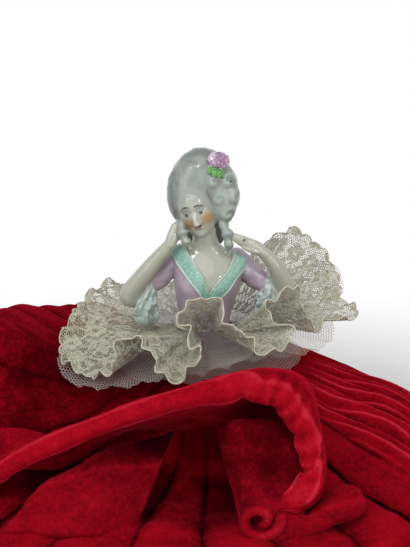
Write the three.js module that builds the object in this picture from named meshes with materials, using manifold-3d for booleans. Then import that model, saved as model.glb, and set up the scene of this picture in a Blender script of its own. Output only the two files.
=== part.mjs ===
// A porcelain half-doll, waist up, sewn on a wadded and quilted velvet skirt with a lace flounce and two
// ruffles of net at her waist. Millimetres, +Z up, and she faces -Y. The origin is on the table, in the
// middle of the flat underside of the skirt's wadding, straight below her waist.
import * as THREE from "three";
import { mergeVertices } from "three/addons/utils/BufferGeometryUtils.js";
import Module from "manifold-3d";

const wasm = await Module();
wasm.setup();

// Driving sizes

const GAP = 0.3; // between pieces that touch
const WAIST_HEIGHT = 62; // the table to the underside of the porcelain flange
const PORCELAIN_WALL = 3; // the slip-cast torso is hollow and open below
const CAVITY_HEIGHT = 34;
const FLANGE_THICKNESS = 2.4;
const FLANGE_BRIM = 5.1; // how far the flange stands out from the waist
const FLANGE_ROUND = 0.5; // its softened edges
const SEW_HOLE_INSET = 2.4; // from the waist's wall to a sew hole's centre
const SEW_HOLE_RADIUS = 1.5;
const SEW_HOLE_SIDES = 12;
const THREAD_RADIUS = 0.35;
const LOOP_HALF_WIDTH = 2.4;
const LOOP_HALF_HEIGHT = 3.3;
const LOOP_DROP = 0.7; // how far the loops hang below the flange's middle
const LOOP_STEPS = 14;
const THREAD_SIDES = 5;
const PLAY = 1.2; // room for the figure's small tilt under the flange and round the thread loops
const NET_CLEARANCE = 3.9; // from the flange's top to the lowest gathered layer, over the thread loops

const TAPE_HEIGHT = 2.4;
const TAPE_WIDTH = 11.5;
const TAPE_EASE = 1; // how much smaller its hole is than the skirt's
const TAPE_SIDES = 24;
const PAD_HALF = [8.2, 5.6]; // the stuffing inside the torso: half width and half depth at the waist
const PAD_HEIGHT = 25;
const PAD_FOOT = 14; // how far below the flange the stuffing stands on the wadding
const PAD_SIDES = 20;

const COLLAR_THICKNESS = 1;
const FLOUNCE_COLLAR = 1.2; // clearance between the torso and what is gathered round it
const CLOTH = 0.8; // lace or net with its small folds
const CLOTH_STEP = 1.3; // from one gathered layer to the next, up the waist
const CORD_RADIUS = 0.6;
const CORD_STEPS = 24;

const VELVET = 7; // two layers of velvet with wadding quilted between them
const SKIRT_INNER = 12.5; // radius of the hole at the waist seam
const SEAM_DROP = 4; // from the flange's underside down to the waist seam
const HEM_TOP = 8; // the upper side of the flat hem on the table
const QUILT_PITCH = 15; // degrees between sewn channels
const QUILT_DEPTH = 1.2;
const GATHER_DEPTH = 2;
const GATHERS = 40; // folds in a full turn, which show on the right-hand side
const GATHER_SWAY = 1.2; // how far the folds wander, in radians of a fold
const GATHER_BENDS = 7; // and how often, on the way out
const GATHER_FACETS = 4; // facets to a fold
const HEM_THICKNESS = 12; // the rolled and wadded hem
const HEM_BODY = 0.72; // its thickness behind the roll, as a share
const FOLD_THICKNESS = 8;

// Porcelain torso: height above the flange's underside, half width, half depth, centre x, centre y.
const TORSO = [
  [4, 12.4, 9.8, 0, 0],
  [8, 11.9, 9.2, -0.2, 0],
  [16, 12.4, 9.8, 0, -0.2],
  [24, 14.2, 11.2, 0.4, -0.8],
  [31, 15.6, 12.2, 1, -1.6],
  [37, 16.8, 11.2, 1.4, -1],
  [42, 18.2, 9.4, 1.6, 0],
  [46, 16.8, 7.8, 1.6, 0.6],
  [48.5, 11.5, 6.6, 1.2, 0.4],
  [50.5, 7.6, 6, 0.6, 0],
  [54, 6.1, 5.8, 0, -0.6],
  [60, 6, 5.8, -0.8, -1.4],
];
const SHOULDER_SLOPE = -0.1; // her left shoulder is the lower
const SHOULDER_FROM = 34;

// The neckline, in width and height: where bodice meets skin, and the band's two edges.
const NECK_POINT = [4, 26];
const NECK_TOPS = [-13.5, 50.5, 17.5, 47];
const BAND_HALF_WIDTH = 3.7;
const BACK_NECK_HEIGHT = 46;

const HEAD_CENTRE = [-3.5, -1, 67];
const HEAD_TURN = { pitch: 12, yaw: -12, roll: -17 }; // degrees

// Soft edges, as x, y and height above the flange's underside, from her right back round the front.
const LACE_EDGE = [
  [-59, 18, 18], [-63, 8, 12], [-67, -4, 7], [-67, -14, 1], [-63, -24, -1], [-54, -34, -1],
  [-44, -42, 1], [-38, -47, 13], [-32, -50, 19], [-26, -54, 18], [-22, -59, 9], [-15, -61, 6],
  [-7, -60, 8], [-1, -58, 16], [-8, -51, 20], [-12, -48, 27], [-7, -46, 35], [1, -45, 36],
  [8, -48, 28], [12, -53, 24], [20, -55, 19], [31, -52, 14], [37, -44, 22], [30, -36, 24],
  [28, -32, 31], [34, -28, 34], [42, -23, 32], [45, -18, 22], [52, -10, 13], [64, -4, 14],
  [72, 0, 17], [65, 9, 22], [64, 17, 29], [58, 25, 39], [49, 32, 46], [40, 38, 49],
  [32, 43, 42], [18, 46, 30], [4, 48, 23], [-11, 48, 21], [-26, 45, 21], [-42, 39, 19], [-52, 29, 21],
];
const NET_EDGE = [
  [-62, 16, 9], [-67, 0, 3], [-70, -12, -3], [-65, -26, -8], [-53, -38, -8], [-36, -48, -4],
  [-21, -56, 2], [-13, -59, 4], [-2, -57, 5], [13, -52, 8], [25, -47, 9], [39, -40, 8],
  [53, -24, 6], [61, -5, 6], [62, 8, 11], [65, 18, 17], [68, 21, 24], [64, 29, 33],
  [52, 38, 31], [28, 46, 17], [0, 48, 14], [-28, 44, 16], [-53, 34, 12],
];
const UNDER_NET_RADIUS = [50, 40]; // along x and along y
const UNDER_NET_HANG = 9; // how far below the flange it hangs where the velvet falls away
const UNDER_NET_RIPPLES = 9;
const UNDER_NET_RIPPLE = 1.4;

// The skirt: for each bearing in degrees from +X, the radius from the waist seam to the hem, and how far it
// has fallen there, from 0 at the seam to 1 at the hem. Below 0 it stands above the seam.
const SKIRT = [
  [0, [[SKIRT_INNER, 0], [45, 0.04], [70, 0.24], [100, 0.5], [125, 0.8], [140, 1]]],
  [45, [[SKIRT_INNER, 0], [50, 0.08], [75, 0.36], [100, 0.72], [120, 1]]],
  [90, [[SKIRT_INNER, 0], [50, 0.12], [75, 0.48], [100, 0.92], [108, 1]]],
  [135, [[SKIRT_INNER, 0], [50, 0.04], [80, -0.08], [100, -0.08], [118, 0.4], [128, 1]]],
  [180, [[SKIRT_INNER, 0], [50, 0.08], [68, 0], [86, -0.24], [106, -0.36], [124, 0.2], [138, 1]]],
  [225, [[SKIRT_INNER, 0.02], [40, 0.24], [60, 0.48], [80, 0.64], [110, 0.88], [135, 1]]],
  [270, [[SKIRT_INNER, 0.02], [30, 0.28], [45, 0.72], [60, 0.9], [100, 0.96], [130, 1]]],
  [315, [[SKIRT_INNER, 0.02], [40, 0.24], [60, 0.48], [90, 0.76], [130, 1]]],
];
const PANELS = { left: 135, front: 225, right: 315, back: 45 }; // the bearing where each starts
const PANEL_SPAN = 90;
const PANEL_STEPS = 12; // facets round a panel
const PANEL_ROWS = 7; // and from waist to hem
const GATHERED_ROWS = 6; // the same, on the gathered panel

// The turned-back hem, from her right to her left: its edge, its crest, and where it comes back down.
const TURNED_HEM = [
  [[-98, -82, 22], [-101, -72, 22], [-103, -60], [-104, -50]],
  [[-80, -84, 36], [-82, -73, 34], [-84, -62], [-84, -50]],
  [[-60, -83, 46], [-61, -72, 42], [-62, -62], [-62, -50]],
  [[-38, -81, 54], [-39, -70, 51], [-40, -58, 42], [-38, -46]],
  [[-15, -80, 62], [-16, -69, 58], [-15, -56, 49], [-14, -42]],
  [[4, -79, 66.5], [6, -67, 62.5], [7, -54, 53], [7, -40]],
  [[20, -78, 66], [24, -63, 66.5], [26, -50, 57], [26, -38]],
  [[34, -80, 57.5], [41, -62, 63], [43, -48, 55], [43, -36]],
  [[43, -86, 44], [46, -74, 47], [47, -62, 42], [47, -50]],
  [[43, -95, 31], [47, -88, 33], [48.5, -80, 30], [49, -72]],
  [[30, -101, 20], [38, -97, 20], [44, -92, 18], [48, -86]],
];

// The corner rolled under the hem, from inside the cave down to the table.
const ROLLED_CORNER = [
  [[4, -66, 46], [20, -66, 50], [36, -66, 46]],
  [[8, -80, 34], [22, -83, 36], [36, -82, 34]],
  [[13, -94, 19], [26, -96, 19], [40, -92, 18]],
  [[17, -103, 8], [31, -106, 8], [48, -101, 11]],
];
const TONGUE = [
  [[34, -106, 10], [43, -97, 13], [52, -88, 15]],
  [[46, -105, 14], [54, -95, 18], [58, -82, 20]],
  [[57, -102, 17], [62, -92, 20], [62, -80, 22]],
  [[66, -98, 18], [69, -91, 19], [67, -82, 19]],
];
const INNER_FOLD = [
  [[-86, -96, 12], [-74, -84, 18], [-62, -72, 22]],
  [[-66, -100, 15], [-58, -88, 27], [-46, -74, 33]],
  [[-48, -101, 17], [-40, -88, 35], [-32, -74, 40]],
  [[-34, -94, 17], [-22, -82, 37], [-14, -68, 45]],
];

const MATERIALS = {
  porcelain_lilac: [0xa9949f, 0.15],
  porcelain_skin: [0xb9bba9, 0.15],
  porcelain_hair: [0x8e9890, 0.15],
  porcelain_turquoise: [0x7db5a5, 0.15],
  porcelain_frill: [0xa8bdb8, 0.15],
  porcelain_rose: [0xa985a0, 0.15],
  porcelain_leaf: [0x4e8c3a, 0.15],
  lace: [0xb4b29c, 0.85],
  net: [0xb8aba0, 0.85],
  thread: [0xd8d2c0, 0.8],
  tape: [0xcabfae, 0.85],
  wadding: [0xd9d4c8, 0.95],
  velvet: [0xa80f22, 0.95],
};

// Making solids

const vector = (p) => new THREE.Vector3(...p);
const mix = (a, b, t) => a + (b - a) * t;
const smooth = (a, b, x) => THREE.MathUtils.smoothstep(x, a, b);
const radians = THREE.MathUtils.degToRad;

/** A solid from points and triangles, turned so that its faces point out. */
function solid(points, faces) {
  const volume = faces.reduce(
    (sum, [a, b, c]) => sum + points[a].dot(points[b].clone().cross(points[c])),
    0,
  );
  const triVerts = new Uint32Array(faces.flatMap(([a, b, c]) => (volume < 0 ? [a, c, b] : [a, b, c])));
  const vertProperties = new Float32Array(points.flatMap((p) => p.toArray()));
  return new wasm.Manifold(new wasm.Mesh({ numProp: 3, vertProperties, triVerts }));
}

/** A solid from one of three.js's closed geometries. */
function fromGeometry(geometry) {
  geometry.deleteAttribute("normal");
  geometry.deleteAttribute("uv");
  const merged = mergeVertices(geometry, 1e-4);
  const mesh = { numProp: 3, vertProperties: merged.attributes.position.array };
  mesh.triVerts = new Uint32Array(merged.index.array);
  return new wasm.Manifold(new wasm.Mesh(mesh));
}

/** Rings of points joined in order into a skin, with flat ends, or closed on itself. */
function skin(rings, loop = false) {
  const sides = rings[0].length;
  const points = rings.flat();
  const faces = [];
  for (let i = 0; i < (loop ? rings.length : rings.length - 1); i++)
    for (let j = 0; j < sides; j++) {
      const [near, far] = [i * sides, ((i + 1) % rings.length) * sides];
      const k = (j + 1) % sides;
      faces.push([near + j, near + k, far + k], [near + j, far + k, far + j]);
    }
  if (loop) return solid(points, faces);
  const middle = (ring) => ring.reduce((sum, p) => sum.add(p), vector([0, 0, 0])).divideScalar(sides);
  const first = points.push(middle(rings[0])) - 1;
  const last = points.push(middle(rings.at(-1))) - 1;
  const end = (rings.length - 1) * sides;
  for (let j = 0; j < sides; j++) {
    const k = (j + 1) % sides;
    faces.push([first, k, j], [last, end + j, end + k]);
  }
  return solid(points, faces);
}

/** A sheet between two surfaces over the same grid, each a function of u and v; it may close round u. */
function slab(nu, nv, top, bottom, round = false) {
  const rows = round ? nu : nu + 1;
  const at = (side, i, j) => (side * rows + (i % rows)) * (nv + 1) + j;
  const points = [];
  for (const surface of [top, bottom])
    for (let i = 0; i < rows; i++) for (let j = 0; j <= nv; j++) points.push(surface(i / nu, j / nv));
  const faces = [];
  const quad = (a, b, c, d) => faces.push([a, b, c], [a, c, d]);
  for (let i = 0; i < nu; i++) {
    for (let j = 0; j < nv; j++) {
      quad(at(0, i, j), at(0, i + 1, j), at(0, i + 1, j + 1), at(0, i, j + 1));
      quad(at(1, i, j), at(1, i, j + 1), at(1, i + 1, j + 1), at(1, i + 1, j));
    }
    quad(at(0, i, 0), at(1, i, 0), at(1, i + 1, 0), at(0, i + 1, 0));
    quad(at(0, i, nv), at(0, i + 1, nv), at(1, i + 1, nv), at(1, i, nv));
  }
  for (let j = 0; j < nv && !round; j++) {
    quad(at(0, 0, j), at(0, 0, j + 1), at(1, 0, j + 1), at(1, 0, j));
    quad(at(0, nu, j), at(1, nu, j), at(1, nu, j + 1), at(0, nu, j + 1));
  }
  return solid(points, faces);
}

/** An ellipsoid by its centre and half sizes. */
function ball(centre, half, { turn = [0, 0, 0], grow = 0, sides = 10 } = {}) {
  const shape = new THREE.SphereGeometry(1, sides, Math.round(sides * 0.6));
  const place = new THREE.Matrix4().compose(
    vector(centre),
    new THREE.Quaternion().setFromEuler(new THREE.Euler(...turn.map(radians))),
    vector(half.map((h) => h + grow)),
  );
  return fromGeometry(shape.applyMatrix4(place));
}

/** A limb along a smooth path with round ends. Each radius is a pair, and the first lies along `wide`. */
function limb(path, radii, options = {}) {
  const { wide = [0, 1, 0], sides = 8, steps = 5, grow = 0, wave = () => 1 } = options;
  const curve = new THREE.CatmullRomCurve3(path.map(vector));
  const sizes = new THREE.CatmullRomCurve3(radii.map(([a, b]) => vector([a, b, 0])));
  const ring = (t, along, share) => {
    const tangent = curve.getTangent(t);
    const side = vector(wide).addScaledVector(tangent, -vector(wide).dot(tangent)).normalize();
    const other = tangent.clone().cross(side);
    const size = sizes.getPoint(t);
    const centre = curve.getPoint(t).addScaledVector(tangent, along * (Math.min(size.x, size.y) + grow));
    return Array.from({ length: sides }, (_, j) => {
      const angle = (2 * Math.PI * j) / sides;
      const swell = share * wave(angle, t);
      return centre
        .clone()
        .addScaledVector(side, (size.x + grow) * swell * Math.cos(angle))
        .addScaledVector(other, (size.y + grow) * swell * Math.sin(angle));
    });
  };
  const rings = [ring(0, -0.95, 0.31), ring(0, -0.6, 0.8)];
  for (let i = 0; i <= steps; i++) rings.push(ring(i / steps, 0, 1));
  rings.push(ring(1, 0.6, 0.8), ring(1, 0.95, 0.31));
  return skin(rings);
}

const joined = (...solids) => solids.reduce((a, b) => a.add(b));
/** A body without what the tools take away, and without any loose offcut. */
const cut = (body, ...tools) => {
  const left = tools.reduce((a, b) => a.subtract(b), body);
  return left.decompose().sort((a, b) => b.volume() - a.volume())[0];
};

/** An outline in width and height, extruded from one depth to another. */
function prism(outline, from, to) {
  const shape = new THREE.Shape(outline.map(([x, z]) => new THREE.Vector2(x, z)));
  const geometry = new THREE.ExtrudeGeometry(shape, { depth: to - from, bevelEnabled: false });
  return fromGeometry(geometry.rotateX(Math.PI / 2).translate(0, to, 0));
}

const part = new THREE.Group();
const figure = new THREE.Group(); // its origin is the middle of the flange's underside
figure.position.z = WAIST_HEIGHT;
part.add(figure);

/** Adds a solid to a group as a named mesh. */
function place(group, name, finish, body) {
  const { vertProperties, triVerts } = body.getMesh();
  const geometry = new THREE.BufferGeometry()
    .setAttribute("position", new THREE.BufferAttribute(vertProperties, 3))
    .setIndex(new THREE.BufferAttribute(triVerts, 1));
  geometry.computeVertexNormals();
  const [color, roughness] = MATERIALS[finish];
  const mesh = new THREE.Mesh(geometry, new THREE.MeshStandardMaterial({ color, roughness, metalness: 0 }));
  mesh.name = name;
  group.add(mesh);
}

// Torso: a hollow slip-cast shell with a sewing flange

const torsoCurve = new THREE.CatmullRomCurve3(
  TORSO.map(([, hx, hy]) => vector([hx, hy, 0])), false, "catmullrom", 0.5,
);
const torsoCentres = new THREE.CatmullRomCurve3(TORSO.map(([, , , cx, cy]) => vector([cx, cy, 0])));

/** The torso's half sizes and centre at a height, from the stations. */
function torsoAt(height) {
  const last = TORSO.length - 1;
  const above = TORSO.findIndex(([z]) => z >= height);
  const i = above < 0 ? last : Math.max(1, above);
  const [low, high] = [TORSO[i - 1][0], TORSO[i][0]];
  const t = (i - 1 + THREE.MathUtils.clamp((height - low) / (high - low), 0, 1)) / last;
  const half = torsoCurve.getPoint(t);
  const centre = torsoCentres.getPoint(t);
  return { half, centre };
}

/** A level ring round the torso at a height, standing off it by `off`. */
function torsoRing(height, off = 0, sides = 20) {
  const { half, centre } = torsoAt(height);
  const slope = SHOULDER_SLOPE * smooth(SHOULDER_FROM, SHOULDER_FROM + 8, height);
  const lift = off * smooth(SHOULDER_FROM + 4, SHOULDER_FROM + 12, height);
  return Array.from({ length: sides }, (_, j) => {
    const angle = (2 * Math.PI * j) / sides;
    const x = centre.x + (half.x + off) * Math.cos(angle);
    const y = centre.y + (half.y + off) * Math.sin(angle);
    return vector([x, y, height + lift + slope * (x - centre.x)]);
  });
}

const torsoHeights = [4, 11, 18, 24, 31, 36, 40, 43, 45.4, 47.2, 48.5, 50.5, 54, 60];
const torso = (grow) => skin(torsoHeights.map((z) => torsoRing(z, grow)));

const waist = torsoAt(TORSO[0][0]).half;
const flangeRing = (height, off) => {
  const lowest = torsoRing(TORSO[0][0], off);
  return lowest.map((p) => vector([p.x, p.y, height]));
};
const flange = skin([
  flangeRing(0, FLANGE_BRIM - FLANGE_ROUND),
  flangeRing(FLANGE_ROUND, FLANGE_BRIM),
  flangeRing(FLANGE_THICKNESS - FLANGE_ROUND, FLANGE_BRIM),
  flangeRing(FLANGE_THICKNESS, FLANGE_BRIM - FLANGE_ROUND),
  flangeRing(FLANGE_THICKNESS + FLANGE_ROUND, 2 * FLANGE_ROUND),
  flangeRing(TORSO[0][0] + FLANGE_ROUND, 0),
]);
const CAVITY_SHARES = [0.4, 0.7, 0.92]; // where the hollow has rings, between its foot and its crown
const CROWN_WALL = 2.2 * PORCELAIN_WALL;
const cavity = skin([
  flangeRing(-GAP, -PORCELAIN_WALL),
  flangeRing(TORSO[0][0], -PORCELAIN_WALL),
  ...CAVITY_SHARES.map((share) => torsoRing(share * CAVITY_HEIGHT, -PORCELAIN_WALL)),
  torsoRing(CAVITY_HEIGHT, -CROWN_WALL),
]);

/** The middles of the four sew holes, with the outward direction of each. */
const SEW_HOLES = { front: [0, -1], left: [1, 0], back: [0, 1], right: [-1, 0] };
const sewPoint = ([x, y], out) => [x * (waist.x + out), y * (waist.y + out)];

const sewHoles = Object.values(SEW_HOLES).map((way) => {
  const length = 3 * FLANGE_THICKNESS;
  const hole = new THREE.CylinderGeometry(SEW_HOLE_RADIUS, SEW_HOLE_RADIUS, length, SEW_HOLE_SIDES);
  const [x, y] = sewPoint(way, SEW_HOLE_INSET);
  return fromGeometry(hole.rotateX(Math.PI / 2).translate(x, y, 0));
});

const BEYOND = 30; // farther out than the torso reaches, in front and behind
const SPLIT = 0.5; // depth of the plane where a front outline ends and a back one starts

/** What lies inside the neckline: the skin of chest, shoulders and neck. */
function neckline(inset) {
  const [x, z] = NECK_POINT;
  const [leftX, leftZ, rightX, rightZ] = NECK_TOPS;
  const top = TORSO.at(-1)[0] + 10;
  const front = [
    [x, z + 2 * inset], [rightX - inset, rightZ], [rightX - inset, top],
    [leftX + inset, top], [leftX + inset, leftZ],
  ];
  const back = [
    [leftX + inset, BACK_NECK_HEIGHT + inset], [rightX - inset, BACK_NECK_HEIGHT + inset - 2],
    [rightX - inset, top], [leftX + inset, top],
  ];
  return joined(prism(front, -BEYOND, SPLIT - inset), prism(back, inset - SPLIT, BEYOND));
}

const shell = cut(joined(torso(0), flange), cavity);
const bodice = cut(shell, neckline(-GAP / 2), ...sewHoles);
const bust = shell.intersect(neckline(GAP / 2));

// Head and hair

const headPlace = new THREE.Matrix4()
  .makeTranslation(vector(HEAD_CENTRE))
  .multiply(new THREE.Matrix4().makeRotationY(radians(HEAD_TURN.roll)))
  .multiply(new THREE.Matrix4().makeRotationZ(radians(HEAD_TURN.yaw)))
  .multiply(new THREE.Matrix4().makeRotationX(radians(HEAD_TURN.pitch)));

/** An ellipsoid in the head's own frame: she looks along -Y, and the crown is +Z. */
function headBall(centre, half, { grow = 0, sides = 12, turn = 0 } = {}) {
  const shape = new THREE.SphereGeometry(1, sides, Math.round(sides * 0.6));
  shape.rotateX(radians(turn)).scale(...half.map((h) => h + grow)).translate(...centre);
  return fromGeometry(shape.applyMatrix4(headPlace));
}

const head = (grow) =>
  joined(
    headBall([0, 0.6, 2], [9, 10, 11.6], { grow }),
    headBall([0, -2.6, -5], [7, 7.4, 8.2], { grow }),
    headBall([0, -8.2, -10.8], [2.3, 2, 2.1], { grow, sides: 10 }),
    headBall([0, -10.3, -2.4], [1.2, 1.9, 2.9], { grow, sides: 10 }),
  );

const hairMass = (grow) =>
  joined(
    ball([-2, 3.5, 78], [14.9, 12.6, 15], { grow, sides: 13 }),
    ball([-1.5, 1.5, 85.5], [11.6, 10.2, 10.8], { grow, sides: 12 }),
    ball([-10.4, 2, 73.5], [7.4, 8.6, 14], { grow }),
    ball([9.4, 0, 80.5], [6.4, 8, 7.6], { grow, sides: 10 }),
    ball([10.4, -1, 72.5], [5.8, 7.4, 6.6], { grow, sides: 10 }),
    ball([9, -0.6, 64], [5.6, 6.6, 6.6], { grow, sides: 10 }),
    ball([-7.5, -4.6, 83.5], [9.4, 5.4, 8], { grow }),
    ball([-1, 7, 64], [9.5, 7, 9], { grow }),
  );

const torsoClear = torso(GAP);
const headClear = head(GAP);
const hair = cut(hairMass(0), headClear, torsoClear);
const hairClear = hairMass(GAP);

place(figure, "bodice", "porcelain_lilac", bodice);
place(figure, "bust_and_neck", "porcelain_skin", cut(bust, headClear));
place(figure, "head", "porcelain_skin", head(0));
place(figure, "hair", "porcelain_hair", hair);

// Collar: a pleated band laid on the neckline

const [neckX, neckZ] = NECK_POINT;
const [leftX, leftZ, rightX, rightZ] = NECK_TOPS;

/** What the band covers, seen from the front and, behind the shoulders, from the back. */
function bandReach(grow) {
  const w = BAND_HALF_WIDTH + grow;
  const top = Math.max(leftZ, rightZ) + 2 * w;
  const front = [
    [neckX, neckZ - 1.3 * w], [rightX + w, rightZ - 0.6 * w], [rightX + w, top], [rightX - w, top],
    [rightX - w, rightZ + 1 - grow], [neckX, neckZ + 1.1 * w], [leftX + w, leftZ + 1 - grow],
    [leftX + w, top], [leftX - w, top], [leftX - w, leftZ - 0.6 * w],
  ];
  const [low, high] = [BACK_NECK_HEIGHT - 5 - grow, BACK_NECK_HEIGHT + grow];
  const back = [
    [leftX - w, low + 1], [neckX, low - 4], [rightX + w, low - 1], [rightX + w, top], [rightX - w, top],
    [rightX - w, high], [neckX, high - 2], [leftX + w, high + 2], [leftX + w, top], [leftX - w, top],
  ];
  return joined(prism(front, -BEYOND, SPLIT + grow), prism(back, SPLIT - GAP / 2 - grow, BEYOND));
}
const collar = cut(torso(GAP + COLLAR_THICKNESS), torsoClear).intersect(bandReach(0));
const collarClear = torso(2 * GAP + COLLAR_THICKNESS).intersect(bandReach(GAP));
place(figure, "collar_band", "porcelain_turquoise", cut(collar, hairClear, headClear));

// Arms: sleeve, cuff frill and bare forearm with its hand, both raised to the hair

const ARMS = {
  right: {
    sleeve: [[-12, 1.5, 43], [-17.5, 1, 38.5], [-22, 0, 34], [-25.5, -1.2, 31]],
    upper: [[-26.5, -1.6, 30], [-31, -3, 27], [-35.6, -4, 25]],
    fore: [[-35.6, -4, 25], [-31, -5.4, 33], [-23.5, -7, 43.5], [-16, -8, 52.5]],
    hand: [[-16, -8, 52.5], [-13.6, -7, 56], [-10.6, -3, 58.5], [-8, 1.5, 59.5]],
    frill: [[-27, -1.8, 31], [-28, -2.6, 26.5], [-28.4, -3.6, 21], [-28, -4.4, 15.5]],
    frillSizes: [[4.6, 4.6], [5, 5], [5.6, 5.4], [5.2, 5]],
  },
  left: {
    sleeve: [[15.5, 1.5, 41], [20.5, 1, 37], [25, 0, 33.5], [28.8, -1, 31]],
    upper: [[29.6, -1.4, 30.4], [34, -2.4, 28.4], [38, -3, 27]],
    fore: [[38, -3, 27], [36.5, -4.6, 34], [33, -6, 41.5], [28, -7, 47.5]],
    hand: [[28, -7, 47.5], [23, -7.6, 50.6], [17.8, -7.2, 53.2], [13, -5.8, 55.4]],
    frill: [[30.4, -1.4, 31], [30.4, -2.4, 27.5], [29.6, -3.4, 24], [28.8, -4, 21]],
    frillSizes: [[4.5, 4.5], [4.9, 4.8], [5.2, 5], [4.6, 4.6]],
  },
};
const SLEEVE_SIZES = [[6, 6], [5.6, 5.6], [5, 5], [4.5, 4.5]];
const UPPER_SIZES = [[4.3, 4.3], [4.7, 4.7], [5.3, 5.3]];
const FORE_SIZES = [[5.3, 5.3], [4.9, 4.9], [4, 4], [2.9, 2.9]];
const HAND_SIZES = [[2.9, 2.9], [2.2, 3.3], [1.8, 3], [1.2, 1.9]];
const HAND_WIDE = [0.2, -1, 0.3]; // the palm's breadth
const FRILL_FOLDS = 7;
const FRILL_FOLD_DEPTH = 0.12;

for (const [side, arm] of Object.entries(ARMS)) {
  const ruffled = (angle, t) => 1 + FRILL_FOLD_DEPTH * t * Math.cos(FRILL_FOLDS * angle);
  const sleeve = (grow) => limb(arm.sleeve, SLEEVE_SIZES, { grow, sides: 12, steps: 4 });
  const bare = (grow) =>
    joined(
      limb(arm.upper, UPPER_SIZES, { grow, steps: 2 }),
      limb(arm.fore, FORE_SIZES, { grow, steps: 3 }),
      limb(arm.hand, HAND_SIZES, { grow, steps: 4, wide: HAND_WIDE }),
    );
  const frill = limb(arm.frill, arm.frillSizes, { sides: 2 * FRILL_FOLDS, steps: 4, wave: ruffled });
  const sleeveClear = sleeve(GAP);
  place(figure, "sleeve_" + side, "porcelain_lilac", cut(sleeve(0), torsoClear, collarClear));
  const forearm = cut(bare(0), sleeveClear, torsoClear, collarClear, hairClear, headClear);
  place(figure, "forearm_" + side, "porcelain_skin", forearm);
  place(figure, "frill_" + side, "porcelain_frill", cut(frill, sleeveClear, bare(GAP), torsoClear));
}

// Ringlets beside the neck, and the rose with its leaves in the hair

const RINGLETS = {
  right: [[-12.4, -6.5, 57], [-11, -8.4, 53.6], [-9, -9.2, 50.4], [-7, -9.4, 47.6]],
  left: [[8.6, -6.4, 58], [9.6, -7.6, 54], [11.4, -7.8, 50], [12.4, -7.6, 46.4]],
};
const RINGLET_SIZES = [[2.6, 2.6], [2.9, 2.9], [2.4, 2.4], [1.4, 1.4]];
const armsClear = (side) =>
  joined(
    limb(ARMS[side].fore, FORE_SIZES, { grow: GAP, steps: 3 }),
    limb(ARMS[side].hand, HAND_SIZES, { grow: GAP, steps: 4, wide: HAND_WIDE }),
  );
for (const [side, path] of Object.entries(RINGLETS)) {
  const coil = (angle, t) => 1 + 0.14 * Math.cos(2 * Math.PI * 3 * t + angle);
  const lock = limb(path, RINGLET_SIZES, { wave: coil, sides: 8, steps: 9, wide: [1, 0, 0] });
  const clear = [hairClear, headClear, torsoClear, collarClear, armsClear(side)];
  place(figure, "ringlet_" + side, "porcelain_hair", cut(lock, ...clear));
}

const ROSE = [6.6, -6.6, 91.8];
const PETALS = 5;
const PETAL_RING = 2.4;
const rose = (grow) =>
  joined(
    ball(ROSE, [2.2, 2.4, 2.2], { grow, sides: 7 }),
    ...Array.from({ length: PETALS }, (_, k) => {
      const angle = (2 * Math.PI * k) / PETALS + 0.3;
      const spread = [Math.cos(angle) * PETAL_RING * 1.15, 0.6, Math.sin(angle) * PETAL_RING];
      return ball(ROSE.map((c, i) => c + spread[i]), [2.5, 1.9, 2.1], { grow, sides: 7 });
    }),
  );
place(figure, "rose", "porcelain_rose", cut(rose(0), hairClear));
const LEAF_SIZE = [2.6, 1.3, 1.3];
const leaves = joined(
  ...[[-2.2, -14], [0.2, 6], [2.5, 24]].map(([x, tilt]) =>
    ball([ROSE[0] + x, ROSE[1] - 1.6, ROSE[2] - 5.4], LEAF_SIZE, { turn: [20, 60 + tilt, 0], sides: 8 }),
  ),
);
place(figure, "rose_leaves", "porcelain_leaf", cut(leaves, hairClear, rose(GAP)));

// Thread loops through the sew holes and round the edge of the flange

/** The section of a thread or cord round a point, between two directions. */
const threadRing = (middle, spoke, across, radius) =>
  Array.from({ length: THREAD_SIDES }, (_, j) => {
    const turn = (2 * Math.PI * j) / THREAD_SIDES;
    return middle
      .clone()
      .addScaledVector(spoke, radius * Math.cos(turn))
      .addScaledVector(across, radius * Math.sin(turn));
  });

/** An upright oval ring of thread. */
function threadLoop(way) {
  const [x, y] = sewPoint(way, SEW_HOLE_INSET - THREAD_RADIUS + LOOP_HALF_WIDTH);
  const out = vector([...way, 0]);
  const up = vector([0, 0, 1]);
  const across = vector([-way[1], way[0], 0]);
  const centre = vector([x, y, FLANGE_THICKNESS / 2 - LOOP_DROP]);
  const rings = Array.from({ length: LOOP_STEPS }, (_, i) => {
    const angle = (2 * Math.PI * i) / LOOP_STEPS;
    const spoke = out.clone().multiplyScalar(Math.cos(angle)).addScaledVector(up, Math.sin(angle));
    const middle = centre
      .clone()
      .addScaledVector(out, LOOP_HALF_WIDTH * Math.cos(angle))
      .addScaledVector(up, LOOP_HALF_HEIGHT * Math.sin(angle));
    return threadRing(middle, spoke, across, THREAD_RADIUS);
  });
  return skin(rings, true);
}
for (const [where, way] of Object.entries(SEW_HOLES))
  place(figure, "stitch_" + where, "thread", threadLoop(way));

// Waist tape, stuffing pad and gathering cord, on the skirt's side of the seam

const waistRing = (height, off, sides) =>
  torsoRing(TORSO[0][0], off, sides).map((p) => vector([p.x, p.y, height]));
const tapeTop = -PLAY;
const tapeFoot = tapeTop - TAPE_HEIGHT;
const tapeInner = SKIRT_INNER - waist.x - TAPE_EASE;
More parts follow.
